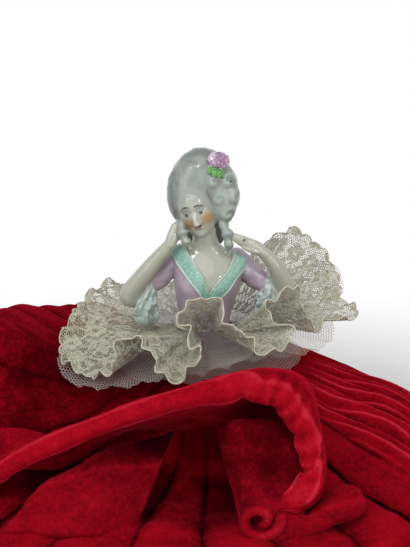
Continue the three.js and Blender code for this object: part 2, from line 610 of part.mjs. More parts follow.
/** A notch in the tape that leaves a thread loop room to move. */
const notch = (way) => {
  const room = THREAD_RADIUS + PLAY;
  const box = new THREE.BoxGeometry(2 * (LOOP_HALF_WIDTH + room), 2 * room, 2 * (LOOP_HALF_HEIGHT + room));
  const [x, y] = sewPoint(way, SEW_HOLE_INSET + LOOP_HALF_WIDTH);
  return fromGeometry(box.rotateZ(Math.atan2(way[1], way[0])).translate(x, y, 0));
};
const tapeBody = (foot, top, off) => skin([foot, top].map((height) => waistRing(height, off, TAPE_SIDES)));
const tape = cut(
  tapeBody(tapeFoot, tapeTop, tapeInner + TAPE_WIDTH),
  tapeBody(tapeFoot - GAP, tapeTop + GAP, tapeInner),
  ...Object.values(SEW_HOLES).map(notch),
);
place(figure, "waist_tape", "tape", tape);

const padRing = (height, share) =>
  Array.from({ length: PAD_SIDES }, (_, j) => {
    const angle = (2 * Math.PI * j) / PAD_SIDES;
    return vector([PAD_HALF[0] * share * Math.cos(angle), PAD_HALF[1] * share * Math.sin(angle), height]);
  });
const PAD_CROWN = [[0.35, 1], [0.7, 0.86], [0.92, 0.62], [1, 0.3]]; // shares of its height and of its size
const padFoot = tapeInner - GAP;
const pad = skin([
  waistRing(-PAD_FOOT, padFoot, PAD_SIDES),
  waistRing(tapeTop, padFoot, PAD_SIDES),
  padRing(tapeTop + GAP, 1),
  ...PAD_CROWN.map(([height, size]) => padRing(height * PAD_HEIGHT, size)),
]);
place(figure, "stuffing_pad", "wadding", pad);

// Lace flounce and net ruffles, gathered round the waist above the flange

const FLOUNCE_CURVE = 1.35; // above 1 the sheet starts level and lifts towards its edge
const EDGE_BLEND = 5; // neighbours on each side that a point's bearing is averaged over
const EDGE_BLEND_STEP = 0.02;
const [STEP_U, STEP_V] = [0.004, 0.05]; // small steps along the grid, to find the way that the sheet faces

/**
 * A sheet gathered on the torso and spread to a free edge. `edge` gives the edge by u, `bulge` lifts the
 * middle of the sheet and `ripples` and `ripple` make the small folds in it.
 */
function flounce({ edge, height, bulge, ripples, ripple, nu, nv }) {
  const bearing = (u) => {
    const near = vector([0, 0, 0]);
    for (let k = -EDGE_BLEND; k <= EDGE_BLEND; k++) near.add(edge((u + EDGE_BLEND_STEP * k + 1) % 1));
    return Math.atan2(near.y, near.x);
  };
  const { half, centre } = torsoAt(height);
  const middle = (u, v) => {
    const [end, angle] = [edge(((u % 1) + 1) % 1), bearing(u)];
    const start = vector([
      centre.x + (half.x + FLOUNCE_COLLAR) * Math.cos(angle),
      centre.y + (half.y + FLOUNCE_COLLAR) * Math.sin(angle),
      height,
    ]);
    const point = start.lerp(end, v);
    point.z = mix(height, end.z, v ** FLOUNCE_CURVE) + bulge * Math.sin(Math.PI * v);
    point.z += ripple * Math.sin(2 * Math.PI * ripples * u) * Math.sin(Math.PI * v);
    return point;
  };
  const off = (share) => (u, v) => {
    const [low, high] = [Math.max(0, v - STEP_V), Math.min(1, v + STEP_V)];
    const beside = Math.max(v, 2 * STEP_V);
    const along = middle(u + STEP_U, beside).sub(middle(u - STEP_U, beside));
    const out = middle(u, high).sub(middle(u, low));
    const normal = out.cross(along).normalize();
    normal.lerp(vector([0, 0, 1]), 1 - smooth(0, 4 * STEP_V, v)).normalize();
    return middle(u, v).addScaledVector(normal, share * CLOTH);
  };
  return slab(nu, nv, off(-0.5), off(0.5), true);
}
const ringOf = (points) => {
  const curve = new THREE.CatmullRomCurve3(points.map(vector), true);
  return (u) => curve.getPoint(u);
};
const netHeight = FLANGE_THICKNESS + NET_CLEARANCE;

/** The lowest ruffle's edge: an oval lying on the velvet in waves, or hanging where that falls away. */
const underEdge = (u) => {
  const angle = Math.PI * (1 + 2 * u);
  const [x, y] = [UNDER_NET_RADIUS[0] * Math.cos(angle), UNDER_NET_RADIUS[1] * Math.sin(angle)];
  const floor = Math.max(skirtTop(x, y) - WAIST_HEIGHT + 3 * CLOTH, -UNDER_NET_HANG);
  return vector([x, y, floor + UNDER_NET_RIPPLE * (1 + Math.sin(UNDER_NET_RIPPLES * angle))]);
};

// Skirt: velvet outside and in with wadding between, in four panels

const HALVINGS = 18; // steps in the search for a radius on a curve
const BEARING_STEP = 360 / SKIRT.length;

/** Each bearing's profile as a curve of radius and height. */
const profiles = SKIRT.map(([bearing, points]) => {
  const seam = WAIST_HEIGHT - SEAM_DROP;
  const places = points.map(([radius, fall]) => vector([radius, mix(seam, HEM_TOP, fall), 0]));
  const curve = new THREE.CatmullRomCurve3(places);
  return { bearing, reach: points.at(-1)[0], curve };
});

/** The height on one profile at a share of the way out. */
function profileHeight({ curve, reach }, share) {
  const radius = mix(SKIRT_INNER, reach, share);
  let [low, high] = [0, 1];
  for (let k = 0; k < HALVINGS; k++) {
    const middle = (low + high) / 2;
    if (curve.getPoint(middle).x < radius) low = middle;
    else high = middle;
  }
  return curve.getPoint(low).y;
}

/** The radius and height of the skirt's upper side, by bearing in radians and share of the way out. */
function skirtAt(angle, share) {
  const turn = THREE.MathUtils.euclideanModulo(THREE.MathUtils.radToDeg(angle), 360);
  const i = Math.floor(turn / BEARING_STEP) % SKIRT.length;
  const [a, b] = [profiles[i], profiles[(i + 1) % SKIRT.length]];
  const t = smooth(0, 1, turn / BEARING_STEP - Math.floor(turn / BEARING_STEP));
  const radius = mix(SKIRT_INNER, mix(a.reach, b.reach, t), share);
  let height = mix(profileHeight(a, share), profileHeight(b, share), t);
  const onRight = smooth(325, 335, turn) + (1 - smooth(12, 30, turn));
  const fold = onRight * smooth(0.25, 0.5, share) * (1 - smooth(0.8, 1, share));
  const sway = GATHER_SWAY * Math.sin(GATHER_BENDS * share);
  height += GATHER_DEPTH * fold * Math.cos(GATHERS * radians(turn) + sway);
  const channel = Math.abs((turn / QUILT_PITCH) % 1 - 0.5) * 2;
  height -= QUILT_DEPTH * smooth(0.8, 1, channel) * smooth(0.3, 0.5, share) * (1 - onRight);
  return { radius, height };
}

/** The height of the skirt's upper side over a point of the table. */
function skirtTop(x, y) {
  const angle = Math.atan2(y, x);
  const reach = skirtAt(angle, 1).radius;
  return skirtAt(angle, THREE.MathUtils.clamp((Math.hypot(x, y) - SKIRT_INNER) / (reach - SKIRT_INNER), 0, 1))
    .height;
}

const LEAST_ROOM = 3; // where less room is left for stuffing, the velvet lies on the table
const skirtPoint = (angle, share, height) => {
  const { radius } = skirtAt(angle, share);
  return vector([radius * Math.cos(angle), radius * Math.sin(angle), height]);
};
/** The underside, a wadded thickness below the upper side, measured square to the slope. */
function underside(angle, share) {
  const [a, b] = [skirtAt(angle, Math.max(0, share - 0.04)), skirtAt(angle, Math.min(1, share + 0.04))];
  const slope = (b.height - a.height) / (b.radius - a.radius);
  const low = skirtAt(angle, share).height - VELVET * Math.hypot(1, slope);
  return low < LEAST_ROOM ? 0 : low;
}
/** One panel between two bearings; `drop` lowers the underside and `rise` lifts the upper side. */
function panel(start, options = {}) {
  const { drop = 0, rise = 0, seam = GAP / 2 } = options;
  const gathered = start === PANELS.right;
  const steps = gathered ? Math.round((GATHER_FACETS * GATHERS * PANEL_SPAN) / 360) : PANEL_STEPS;
  const rows = gathered ? GATHERED_ROWS : PANEL_ROWS;
  const [from, to] = [radians(start), radians(start + PANEL_SPAN)];
  const surface = (height) => (u, v) => {
    const angle = mix(from, to, u);
    const aside = seam * (1 - 2 * u);
    return skirtPoint(angle, v, height(angle, v)).add(
      vector([-Math.sin(angle) * aside, Math.cos(angle) * aside, 0]),
    );
  };
  return slab(
    steps, rows,
    surface((angle, v) => skirtAt(angle, v).height + rise),
    surface((angle, v) => underside(angle, v) - drop),
  );
}

for (const [side, start] of Object.entries(PANELS))
  place(part, "skirt_panel_" + side, "velvet", panel(start));

const WADDING = [0.01, 0.9]; // from where to where the loose wadding reaches, as shares of the way out
const WADDING_STEPS = 24;
const block = slab(
  WADDING_STEPS, 3,
  (u, v) => {
    const [angle, share] = [2 * Math.PI * u, mix(...WADDING, v)];
    return skirtPoint(angle, share, Math.max(1, skirtAt(angle, share).height - 1));
  },
  (u, v) => skirtPoint(2 * Math.PI * u, mix(...WADDING, v), 0),
  true,
);
const coreRadius = SKIRT_INNER + 2 * TAPE_EASE;
const coreTop = WAIST_HEIGHT - PAD_FOOT - GAP;
const upright = new THREE.CylinderGeometry(coreRadius, coreRadius, coreTop, WADDING_STEPS);
const core = fromGeometry(upright.rotateX(Math.PI / 2).translate(0, 0, coreTop / 2));
const overWadding = { drop: 3 * GAP, rise: WAIST_HEIGHT, seam: -GAP };
const wadding = cut(joined(block, core), ...Object.values(PANELS).map((start) => panel(start, overWadding)));
place(part, "inner_wadding", "wadding", wadding);

// Folds of the turned-back hem

/**
 * A wadded fold over a grid of control points, swelling to its thickness from round edges. A control
 * point without a height lies on the skirt.
 */
function fold(grid, thickness, { nu, nv, grow = 0, body = 1 }) {
  const rows = grid.map((row) =>
    row.map(([x, y, z]) => vector([x, y, z ?? skirtTop(x, y) + thickness / 2])),
  );
  const lines = rows.map((row) => new THREE.CatmullRomCurve3(row));
  const middle = (u, v) => new THREE.CatmullRomCurve3(lines.map((line) => line.getPoint(v))).getPoint(u);
  const length = rows.at(-1)[0].distanceTo(rows[0][0]);
  const round = (t, size) => {
    const inward = Math.min(1, (2 * size * Math.min(t, 1 - t)) / thickness);
    return Math.sqrt(1 - (1 - inward) ** 2);
  };
  const swell = (u, v) => {
    const width = middle(u, 0).distanceTo(middle(u, 1));
    return 0.1 + (mix(1, body, smooth(0.15, 0.5, v)) - 0.1) * round(u, length) * round(v, width);
  };
  const crowded = (t) => (1 - Math.cos(Math.PI * t)) / 2;
  const off = (sign) => (a, b) => {
    const [u, v] = [a, crowded(b)];
    const step = 0.02;
    const [u0, u1] = [Math.max(0, u - step), Math.min(1, u + step)];
    const [v0, v1] = [Math.max(0, v - step), Math.min(1, v + step)];
    const along = middle(u1, v).sub(middle(u0, v));
    const across = middle(u, v1).sub(middle(u, v0));
    const normal = along.clone().cross(across).normalize();
    const outward = (t) => smooth(0.9, 1, t) - smooth(-0.1, 0, -t);
    return middle(u, v)
      .addScaledVector(along.normalize(), grow * outward(u))
      .addScaledVector(across.normalize(), grow * outward(v))
      .addScaledVector(normal, sign * (swell(u, v) * (thickness / 2) + grow));
  };
  return slab(nu, nv, off(1), off(-1));
}
const underFolds = { drop: VELVET, rise: GAP, seam: 0 };
const ground = joined(...Object.values(PANELS).map((start) => panel(start, underFolds)));
const hemSize = { nu: 26, nv: 7, body: HEM_BODY };
const hem = fold(TURNED_HEM, HEM_THICKNESS, hemSize);
const hemClear = fold(TURNED_HEM, HEM_THICKNESS, { ...hemSize, grow: GAP });
place(part, "turned_back_hem", "velvet", cut(hem, ground));

const cornerSize = { nu: 9, nv: 6 };
const corner = cut(fold(ROLLED_CORNER, FOLD_THICKNESS, cornerSize), ground, hemClear);
place(part, "rolled_corner", "velvet", corner);
const cornerClear = fold(ROLLED_CORNER, FOLD_THICKNESS, { ...cornerSize, grow: GAP });
place(
  part, "hem_tongue", "velvet",
  cut(fold(TONGUE, FOLD_THICKNESS, cornerSize), ground, hemClear, cornerClear),
);
const innerFold = cut(fold(INNER_FOLD, FOLD_THICKNESS, cornerSize), ground, hemClear);
place(part, "inner_fold", "velvet", innerFold);

// The soft layers at the waist, from the lowest up

const layers = {
  net_under_ruffle: { edge: underEdge, bulge: 0.8, ripples: 12, ripple: 0.4, nu: 36, nv: 3 },
  net_ruffle: { edge: ringOf(NET_EDGE), bulge: -0.5, ripples: 11, ripple: 0.5, nu: 46, nv: 4 },
  lace_flounce: { edge: ringOf(LACE_EDGE), bulge: 0.8, ripples: 18, ripple: 0.7, nu: 76, nv: 4 },
};
Object.entries(layers).forEach(([name, shape], i) => {
  const sheet = flounce({ ...shape, height: netHeight + i * CLOTH_STEP });
  place(figure, name, name.split("_")[0], sheet);
});
const layerCount = Object.keys(layers).length;
const cordHeight = netHeight + layerCount * CLOTH_STEP + CORD_RADIUS;
const { half: cordHalf, centre: cordCentre } = torsoAt(cordHeight);
const cordReach = FLOUNCE_COLLAR + CORD_RADIUS;
const cordRings = Array.from({ length: CORD_STEPS }, (_, i) => {
  const angle = (2 * Math.PI * i) / CORD_STEPS;
  const out = vector([Math.cos(angle), Math.sin(angle), 0]);
  const [x, y] = [(cordHalf.x + cordReach) * out.x, (cordHalf.y + cordReach) * out.y];
  const middle = vector([cordCentre.x + x, cordCentre.y + y, cordHeight]);
  return threadRing(middle, out, vector([0, 0, 1]), CORD_RADIUS);
});
place(figure, "gathering_cord", "thread", skin(cordRings, true));

export default part;
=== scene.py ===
"""A glazed porcelain half-doll, hands raised to her hair, sewn by her flange on a wadded red velvet skirt,
with a flounce of old embroidered lace and two ruffles of net gathered round her waist."""
import math

import bmesh
import bpy
import numpy as np
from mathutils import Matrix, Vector


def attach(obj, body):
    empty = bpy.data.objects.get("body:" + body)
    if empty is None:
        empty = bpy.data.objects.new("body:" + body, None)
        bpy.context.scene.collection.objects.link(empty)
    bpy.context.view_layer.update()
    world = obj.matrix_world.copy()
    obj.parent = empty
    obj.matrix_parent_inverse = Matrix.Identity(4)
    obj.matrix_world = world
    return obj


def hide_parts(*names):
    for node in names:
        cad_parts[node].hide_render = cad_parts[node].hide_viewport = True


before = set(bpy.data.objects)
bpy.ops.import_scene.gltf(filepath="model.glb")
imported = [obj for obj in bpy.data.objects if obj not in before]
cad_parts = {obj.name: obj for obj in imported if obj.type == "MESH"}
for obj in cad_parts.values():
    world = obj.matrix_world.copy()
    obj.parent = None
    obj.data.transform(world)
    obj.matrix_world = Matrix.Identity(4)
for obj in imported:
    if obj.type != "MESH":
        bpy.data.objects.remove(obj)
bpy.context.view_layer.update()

# The picture's setting: a pale table with a pale wall behind it, a camera a little above the doll's face, and
# soft lamps. Lengths in the lists of points are millimetres.
MM = 0.001


class Paint:
    """One number, colour or vector in a finish's nodes. Sums and products of them add the nodes they need."""

    def __init__(self, finish, socket):
        self.finish = finish
        self.socket = socket

    def __add__(self, other):
        return self.finish.math("ADD", self, other)

    def __sub__(self, other):
        return self.finish.math("SUBTRACT", self, other)

    def __rsub__(self, other):
        return self.finish.math("SUBTRACT", other, self)

    def __mul__(self, other):
        return self.finish.math("MULTIPLY", self, other)

    def __truediv__(self, other):
        return self.finish.math("DIVIDE", self, other)

    def __abs__(self):
        return self.finish.math("ABSOLUTE", self)

    __radd__ = __add__
    __rmul__ = __mul__


class Finish:
    """A material: its shader's fixed values, and nodes added one by one."""

    def __init__(self, name, **fixed):
        self.material = bpy.data.materials.new(name)
        self.material.use_nodes = True
        self.tree = self.material.node_tree
        self.shader = self.tree.nodes["Principled BSDF"]
        for socket, value in fixed.items():
            self.shader.inputs[socket.replace("_", " ")].default_value = value

    def node(self, kind, settings=None, values=None, output=0):
        """Adds a node of a type, sets its settings, then its sockets, and gives one of its outputs."""
        node = self.tree.nodes.new(kind)
        for setting, value in (settings or {}).items():
            setattr(node, setting, value)
        for socket, value in (values or {}).items():
            if isinstance(value, Paint):
                self.tree.links.new(value.socket, node.inputs[socket])
            else:
                node.inputs[socket].default_value = value
        return Paint(self, node.outputs[output])

    def math(self, operation, a, b=0.0):
        """A sum on one number or two."""
        return self.node("ShaderNodeMath", {"operation": operation}, {0: a, 1: b})

    def vectors(self, operation, a, b=(0, 0, 0), output=1):
        """A sum on one vector or two: the number that it gives, or with output 0 the vector."""
        return self.node("ShaderNodeVectorMath", {"operation": operation}, {0: a, 1: b}, output)

    def most(self, first, *others):
        """The greatest of several numbers."""
        for other in others:
            first = self.math("MAXIMUM", first, other)
        return first

    def mask(self, value, low, high):
        """0 where the value is at `low`, 1 at `high`, and a smooth step between."""
        sockets = {0: value, 1: low, 2: high}
        return self.node("ShaderNodeMapRange", {"interpolation_type": "SMOOTHSTEP"}, sockets)

    def mix(self, share, a, b):
        """One colour going over into another."""
        colours = {0: share, 6: tint(a), 7: tint(b)}
        return self.node("ShaderNodeMix", {"data_type": "RGBA"}, colours, output=2)

    def layered(self, ground, *layers):
        """A ground painted over, layer on layer: how solid each lies, and its colour."""
        for share, colour in layers:
            ground = self.mix(share, ground, colour)
        return ground

    def noise(self, where, scale, detail=3.0, roughness=0.5):
        """Clouds from 0 to 1, so many of them to a metre."""
        values = {"Vector": where, "Scale": scale, "Detail": detail, "Roughness": roughness}
        return self.node("ShaderNodeTexNoise", None, values)

    def parts(self, vector):
        """The three numbers of a vector."""
        split = self.node("ShaderNodeSeparateXYZ", None, {0: vector}).socket.node
        return [Paint(self, socket) for socket in split.outputs]

    def place(self):
        """Where a point is on the object, in metres."""
        return self.node("ShaderNodeTexCoord", output=3)

    def cloth(self):
        """Where a point is on the flat cloth, in metres."""
        return self.node("ShaderNodeTexCoord", output=2)

    def light_and_shade(self):
        """The painted light and shade that the mesh itself gives each point."""
        return self.node("ShaderNodeAttribute", {"attribute_name": "light_and_shade"}, output=2)

    def bump(self, height, strength, distance):
        """Fine relief: its height from 0 to 1, how strong it is, and how high 1 is in metres."""
        values = {"Strength": strength, "Distance": distance, "Height": height}
        self.use("Normal", self.node("ShaderNodeBump", None, values))

    def use(self, socket, paint):
        """Feeds one of the shader's sockets."""
        self.tree.links.new(paint.socket, self.shader.inputs[socket])


def tint(colour):
    """A colour written as six hexadecimal digits, as the shader wants it. Any other stays as it is."""
    if not isinstance(colour, str):
        return colour
    channels = [int(colour[k:k + 2], 16) / 255 for k in (0, 2, 4)]
    linear = [c / 12.92 if c < 0.04045 else ((c + 0.055) / 1.055) ** 2.4 for c in channels]
    return (*linear, 1.0)


scene = bpy.context.scene
scene.view_settings.view_transform = "Standard"

LOOK_AT = Vector((0, 0, 98)) * MM
CAMERA_DISTANCE, CAMERA_RISE = 720 * MM, math.radians(15)
SENSOR_HEIGHT, FOCAL_LENGTH = 36, 99.76


def aimed(name, data, spot):
    """Puts a camera or a lamp at a spot and turns it to look at the doll."""
    thing = bpy.data.objects.new(name, data)
    scene.collection.objects.link(thing)
    thing.location = spot
    thing.rotation_euler = (LOOK_AT - thing.location).to_track_quat("-Z", "Y").to_euler()
    return thing


camera_data = bpy.data.cameras.new("camera")
camera_data.sensor_fit = "VERTICAL"
camera_data.sensor_height = SENSOR_HEIGHT
camera_data.lens = FOCAL_LENGTH
camera_way = Vector((0, -math.cos(CAMERA_RISE), math.sin(CAMERA_RISE)))
scene.camera = aimed("camera", camera_data, LOOK_AT + CAMERA_DISTANCE * camera_way)

# The table fades into the white wall behind it for every ray that looks at it, and keeps its shadow near by.
TABLE_REACH, TABLE_CLOUDS = 3.0, 6.0
TABLE_GREYS = [(grey, grey, grey, 1) for grey in (0.93, 0.97)]
WHITE = (1, 1, 1, 1)
FADE_FROM, FADE_TO = 0.1, 0.34
LOOKING_RAYS = ("Is Camera Ray", "Is Glossy Ray", "Is Transmission Ray")
table_finish = Finish("pale_table", Roughness=0.9)
table_place = table_finish.place()
table_finish.use("Base Color", table_finish.mix(table_finish.noise(table_place, TABLE_CLOUDS), *TABLE_GREYS))
table_rays = table_finish.node("ShaderNodeLightPath").socket.node.outputs
looked_at = table_finish.most(*[Paint(table_finish, table_rays[kind]) for kind in LOOKING_RAYS])
far_out = table_finish.mask(table_finish.vectors("LENGTH", table_place), FADE_FROM, FADE_TO)
faded = table_finish.node("ShaderNodeMixShader", None, {
    0: looked_at * far_out,
    1: Paint(table_finish, table_finish.shader.outputs[0]),
    2: table_finish.node("ShaderNodeEmission", None, {"Color": WHITE, "Strength": 1.0}),
})
table_finish.tree.links.new(faded.socket, table_finish.tree.nodes["Material Output"].inputs["Surface"])
table_mesh = bpy.data.meshes.new("table")
table_corners = [(x * TABLE_REACH, y * TABLE_REACH, 0) for x, y in ((-1, -1), (1, -1), (1, 1), (-1, 1))]
table_mesh.from_pydata(table_corners, [], [(0, 1, 2, 3)])
table_mesh.materials.append(table_finish.material)
table = bpy.data.objects.new("table", table_mesh)
scene.collection.objects.link(table)

# The room: white to every ray that looks at it, and a weaker light on all else.
ROOM_LIGHT = 0.3
world = bpy.data.worlds.new("pale_room")
scene.world = world
world.use_nodes = True
room = world.node_tree
room_rays = room.nodes.new("ShaderNodeLightPath").outputs
any_look = room_rays[LOOKING_RAYS[0]]
for kind in LOOKING_RAYS[1:]:
    either = room.nodes.new("ShaderNodeMath")
    either.operation = "MAXIMUM"
    room.links.new(any_look, either.inputs[0])
    room.links.new(room_rays[kind], either.inputs[1])
    any_look = either.outputs[0]
strength = room.nodes.new("ShaderNodeMapRange")
strength.inputs["To Min"].default_value = ROOM_LIGHT
strength.inputs["To Max"].default_value = 1.0
room.links.new(any_look, strength.inputs["Value"])
room.nodes["Background"].inputs["Color"].default_value = WHITE
room.links.new(strength.outputs[0], room.nodes["Background"].inputs["Strength"])

# Each lamp: where it hangs, its size across, and its power in watts.
LAMPS = {
    "overhead": ((-120, -330, 700), 700, 2.1),
    "front_right": ((480, -640, 330), 420, 1.2),
    "front_left": ((-620, -520, 380), 420, 0.8),
    "window": ((-230, -560, 600), 90, 0.5),
    "window_beside": ((-470, -430, 480), 60, 0.2),
    "window_across": ((330, -540, 520), 60, 0.2),
}
for lamp_name, (spot, across, power) in LAMPS.items():
    lamp_data = bpy.data.lights.new(lamp_name, "AREA")
    lamp_data.shape = "DISK"
    lamp_data.size = across * MM
    lamp_data.energy = power
    aimed(lamp_name, lamp_data, Vector(spot) * MM)

# The bodice and its sewing flange: slip-cast hollow, 3 mm thick and open below, with four sew holes. It is
# tinted lilac under the clear glaze. Stations: height over the flange, half width, half depth, centre.
WAIST = 62
STATIONS = np.array([
    [4, 12.4, 9.8, 0, 0], [8, 11.9, 9.2, -0.2, 0], [16, 12.4, 9.8, 0, -0.2], [24, 14.2, 11.2, 0.4, -0.8],
    [31, 15.6, 12.2, 1, -1.6], [37, 16.8, 11.2, 1.4, -1], [42, 18.2, 9.4, 1.6, 0], [46, 16.8, 7.8, 1.6, 0.6],
    [48.5, 11.5, 6.6, 1.2, 0.4], [50.5, 7.6, 6, 0.6, 0], [54, 6.1, 5.8, 0, -0.6], [60, 6, 5.8, -0.8, -1.4],
])
# The shoulders' slope, the heights between which it sets in, and those between which anything that stands off
# the torso also rises.
SHOULDER_SLOPE, SLOPED, LIFTED = -0.1, (34, 42), (38, 46)
TORSO_SIDES, OUTSIDE_ROWS, INSIDE_ROWS = 144, 70, 24
WALL, RIM_DROP, FOOT = 3.0, 1.0, 4.0
AT_FOOT = np.full((1, 1), FOOT)
FLANGE_THICKNESS, FLANGE_BRIM, BRIM_ROUND = 2.4, 5.1, 0.5


def step(low, high, value):
    """0 below `low`, 1 above `high`, and a smooth step between."""
    share = np.clip((value - low) / (high - low), 0, 1)
    return share * share * (3 - 2 * share)


def through(places, values, where):
    """A smooth curve through values at given places: a cubic on each stretch, with the slopes of its ends."""
    slopes = np.gradient(values, places, axis=0)
    k = np.clip(np.searchsorted(places, where) - 1, 0, len(places) - 2)
    gap = places[k + 1] - places[k]
    t = np.clip((where - places[k]) / gap, 0, 1)
    spread = t.shape + (1,) * (values.ndim - 1)
    t, gap = t.reshape(spread), gap.reshape(spread)
    rise = (2 * t - 3) * t * t
    ends = (1 + rise) * values[k] - rise * values[k + 1]
    bends = (t - 1) * t * ((t - 1) * slopes[k] + t * slopes[k + 1])
    return ends + gap * bends


def smooth_line(points, count, closed=False):
    """A smooth line through points, or through rows of points, with `count` points along it."""
    points = np.asarray(points, float)
    if closed:
        wrapped = np.concatenate([points[-2:], points, points[:3]])
        where = np.linspace(0, len(points), count, endpoint=False)
        return through(np.arange(-2.0, len(points) + 3), wrapped, where)
    return through(np.arange(float(len(points))), points, np.linspace(0, len(points) - 1, count))


def torso(bearing, height, off=0.0):
    """The torso's skin: at each height an ellipse, whose half sizes and middle follow smooth curves."""
    half_x, half_y, mid_x, mid_y = np.moveaxis(through(STATIONS[:, 0], STATIONS[:, 1:], height), -1, 0)
    x = mid_x + (half_x + off) * np.cos(bearing)
    y = mid_y + (half_y + off) * np.sin(bearing)
    lift = off * step(*LIFTED, height)
    slope = SHOULDER_SLOPE * step(*SLOPED, height)
    return np.stack(np.broadcast_arrays(x, y, WAIST + height + lift + slope * (x - mid_x)), -1)


def full_turn(count):
    """So many bearings round a full turn, as a column."""
    return np.linspace(0, 2 * math.pi, count, endpoint=False)[:, None]


def faces_of(rows, columns, around, along):
    """The faces of a grid of points: row and column of each one's four corners, which run on past the end
    where the grid closes on itself, and the numbers of those corners."""
    i, j = np.meshgrid(np.arange(rows - (not around)), np.arange(columns - (not along)), indexing="ij")
    corners = [(i + a, j + b) for a, b in ((0, 0), (1, 0), (1, 1), (0, 1))]
    return corners, np.stack([i % rows * columns + j % columns for i, j in corners], -1).reshape(-1, 4)


def surface(name, points, finish, body, around=False, along=False, cloth=None, poles=False, light_and_shade=None):
    """A skin over a grid of points, joined round where the grid closes on itself, with its finish and body.
    `cloth` gives each point's place on the flat cloth; the painted light and shade of each point, if given,
    goes on the mesh."""
    corners, faces = faces_of(*points.shape[:2], around, along)
    mesh = bpy.data.meshes.new(name)
    mesh.from_pydata((points.reshape(-1, 3) * MM).tolist(), [], faces.tolist())
    if cloth is not None:
        at = np.stack([cloth[i, j] for i, j in corners], 2).reshape(-1, 2)
        mesh.uv_layers.new(name="cloth").data.foreach_set("uv", (at * MM).ravel())
    if light_and_shade is not None:
        mesh.attributes.new("light_and_shade", "FLOAT", "POINT").data.foreach_set("value", light_and_shade.ravel())
    return finished(name, mesh, finish, body, merge=poles)


def finished(name, mesh, finish, body, merge=False):
    """Makes a mesh a piece: its doubles merged if asked, faces out, smooth, with finish and body."""
    work = bmesh.new()
    work.from_mesh(mesh)
    if merge:
        bmesh.ops.remove_doubles(work, verts=work.verts, dist=1e-7)
    if not any(edge.is_boundary for edge in work.edges) and work.calc_volume(signed=True) < 0:
        bmesh.ops.reverse_faces(work, faces=work.faces)
    work.to_mesh(mesh)
    work.free()
    mesh.shade_smooth()
    mesh.materials.append(finish.material)
    piece = bpy.data.objects.new(name, mesh)
    scene.collection.objects.link(piece)
    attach(piece, body)
    return piece


# The glaze's pools, specks, clouds in the gloss and waves: how many of each to a metre.
POOLS, SPECKS, GLOSS_CLOUDS, WAVES = 90.0, 1500.0, 400.0, 260.0


def glaze(name, colour, shade, depth=0.5):
    """Clear glaze over a tinted body: soft pools of deeper tint, faint specks and slow waves in the gloss."""
    finish = Finish(name, Roughness=0.36, IOR=1.45, Coat_Weight=0.8, Coat_Roughness=0.05, Coat_IOR=1.5)
    place = finish.place()
    pools = finish.mask(finish.noise(place, POOLS, 2.0), 0.35, 0.7)
    specks = finish.mask(finish.noise(place, SPECKS, 1.0), 0.76, 0.82)
    finish.base = finish.layered(colour, (pools * depth, shade), (specks * 0.35, "5A5248"))
    finish.use("Base Color", finish.base)
    finish.use("Roughness", finish.noise(place, GLOSS_CLOUDS, 2.0) * 0.12 + 0.34)
    finish.bump(finish.noise(place, WAVES, 2.0), 0.25, 0.0002)
    return finish


lilac = glaze("lilac_glaze", "B5A3B2", "97869A")
around_torso = full_turn(TORSO_SIDES)

# Lower edge and upper edge of the pleated neck band, as bearing and height, from the foot of the V round her
# right shoulder and the back to the foot again. The bodice ends halfway under it.
BAND_EDGES = np.array([
    [-82, 21.2, -86, 30.1], [-94, 25.6, -93, 34.4], [-104, 29.8, -98, 38], [-128, 37.2, -112, 43.4],
    [-142, 40.6, -124, 46.4], [-158, 43.6, -142, 48.2], [-182, 44.8, -170, 49], [-208, 43.2, -200, 48.4],
    [-238, 41, -235, 46.8], [-270, 38.5, -270, 45.2], [-305, 40, -308, 45.6], [-338, 42.8, -342, 47.4],
    [-362, 44.4, -372, 48.2], [-378, 42.4, -392, 47.8], [-394, 37.6, -412, 45.4], [-410, 30.6, -424, 39.5],
    [-428, 25.8, -437, 34.6], [-442, 21.2, -446, 30.1],
])
band_turn = -BAND_EDGES[:, 0] + BAND_EDGES[0, 0]
middle_turn = (-np.degrees(around_torso[:, 0]) % 360 + BAND_EDGES[0, 0]) % 360
rim = np.interp(middle_turn, band_turn, BAND_EDGES[:, [1, 3]].mean(1))[:, None]

outside = torso(around_torso, FOOT + (rim - FOOT) * np.linspace(0, 1, OUTSIDE_ROWS) ** 0.9)
inside = torso(around_torso, FOOT + (rim - RIM_DROP - FOOT) * np.linspace(1, 0, INSIDE_ROWS), -WALL)
# The flange's outline, from inside its foot round the brim and up to the torso: its height, and how far it
# stands off the waist.
FLANGE_OUTLINE = [
    (0, -WALL), (0, FLANGE_BRIM - BRIM_ROUND), (0.2, FLANGE_BRIM - 0.15), (BRIM_ROUND, FLANGE_BRIM),
    (FLANGE_THICKNESS - BRIM_ROUND, FLANGE_BRIM), (FLANGE_THICKNESS - 0.15, FLANGE_BRIM - 0.2),
    (FLANGE_THICKNESS, FLANGE_BRIM - BRIM_ROUND), (FLANGE_THICKNESS, 1.6), (FLANGE_THICKNESS + 0.3, 0.7),
    (FLANGE_THICKNESS + 0.9, 0.15),
]
flange = np.concatenate([torso(around_torso, AT_FOOT, off) * [1, 1, 0] + [0, 0, WAIST + height]
                         for height, off in FLANGE_OUTLINE], 1)
bodice = surface("bodice_shell", np.concatenate([flange, outside, inside], 1), lilac, "figure",
                 around=True, along=True)
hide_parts("bodice")


def settled(piece):
    """Makes what a piece's modifiers do a part of its mesh, for good."""
    bpy.context.view_layer.update()
    mesh = bpy.data.meshes.new_from_object(piece.evaluated_get(bpy.context.evaluated_depsgraph_get()))
    piece.modifiers.clear()
    piece.data = mesh


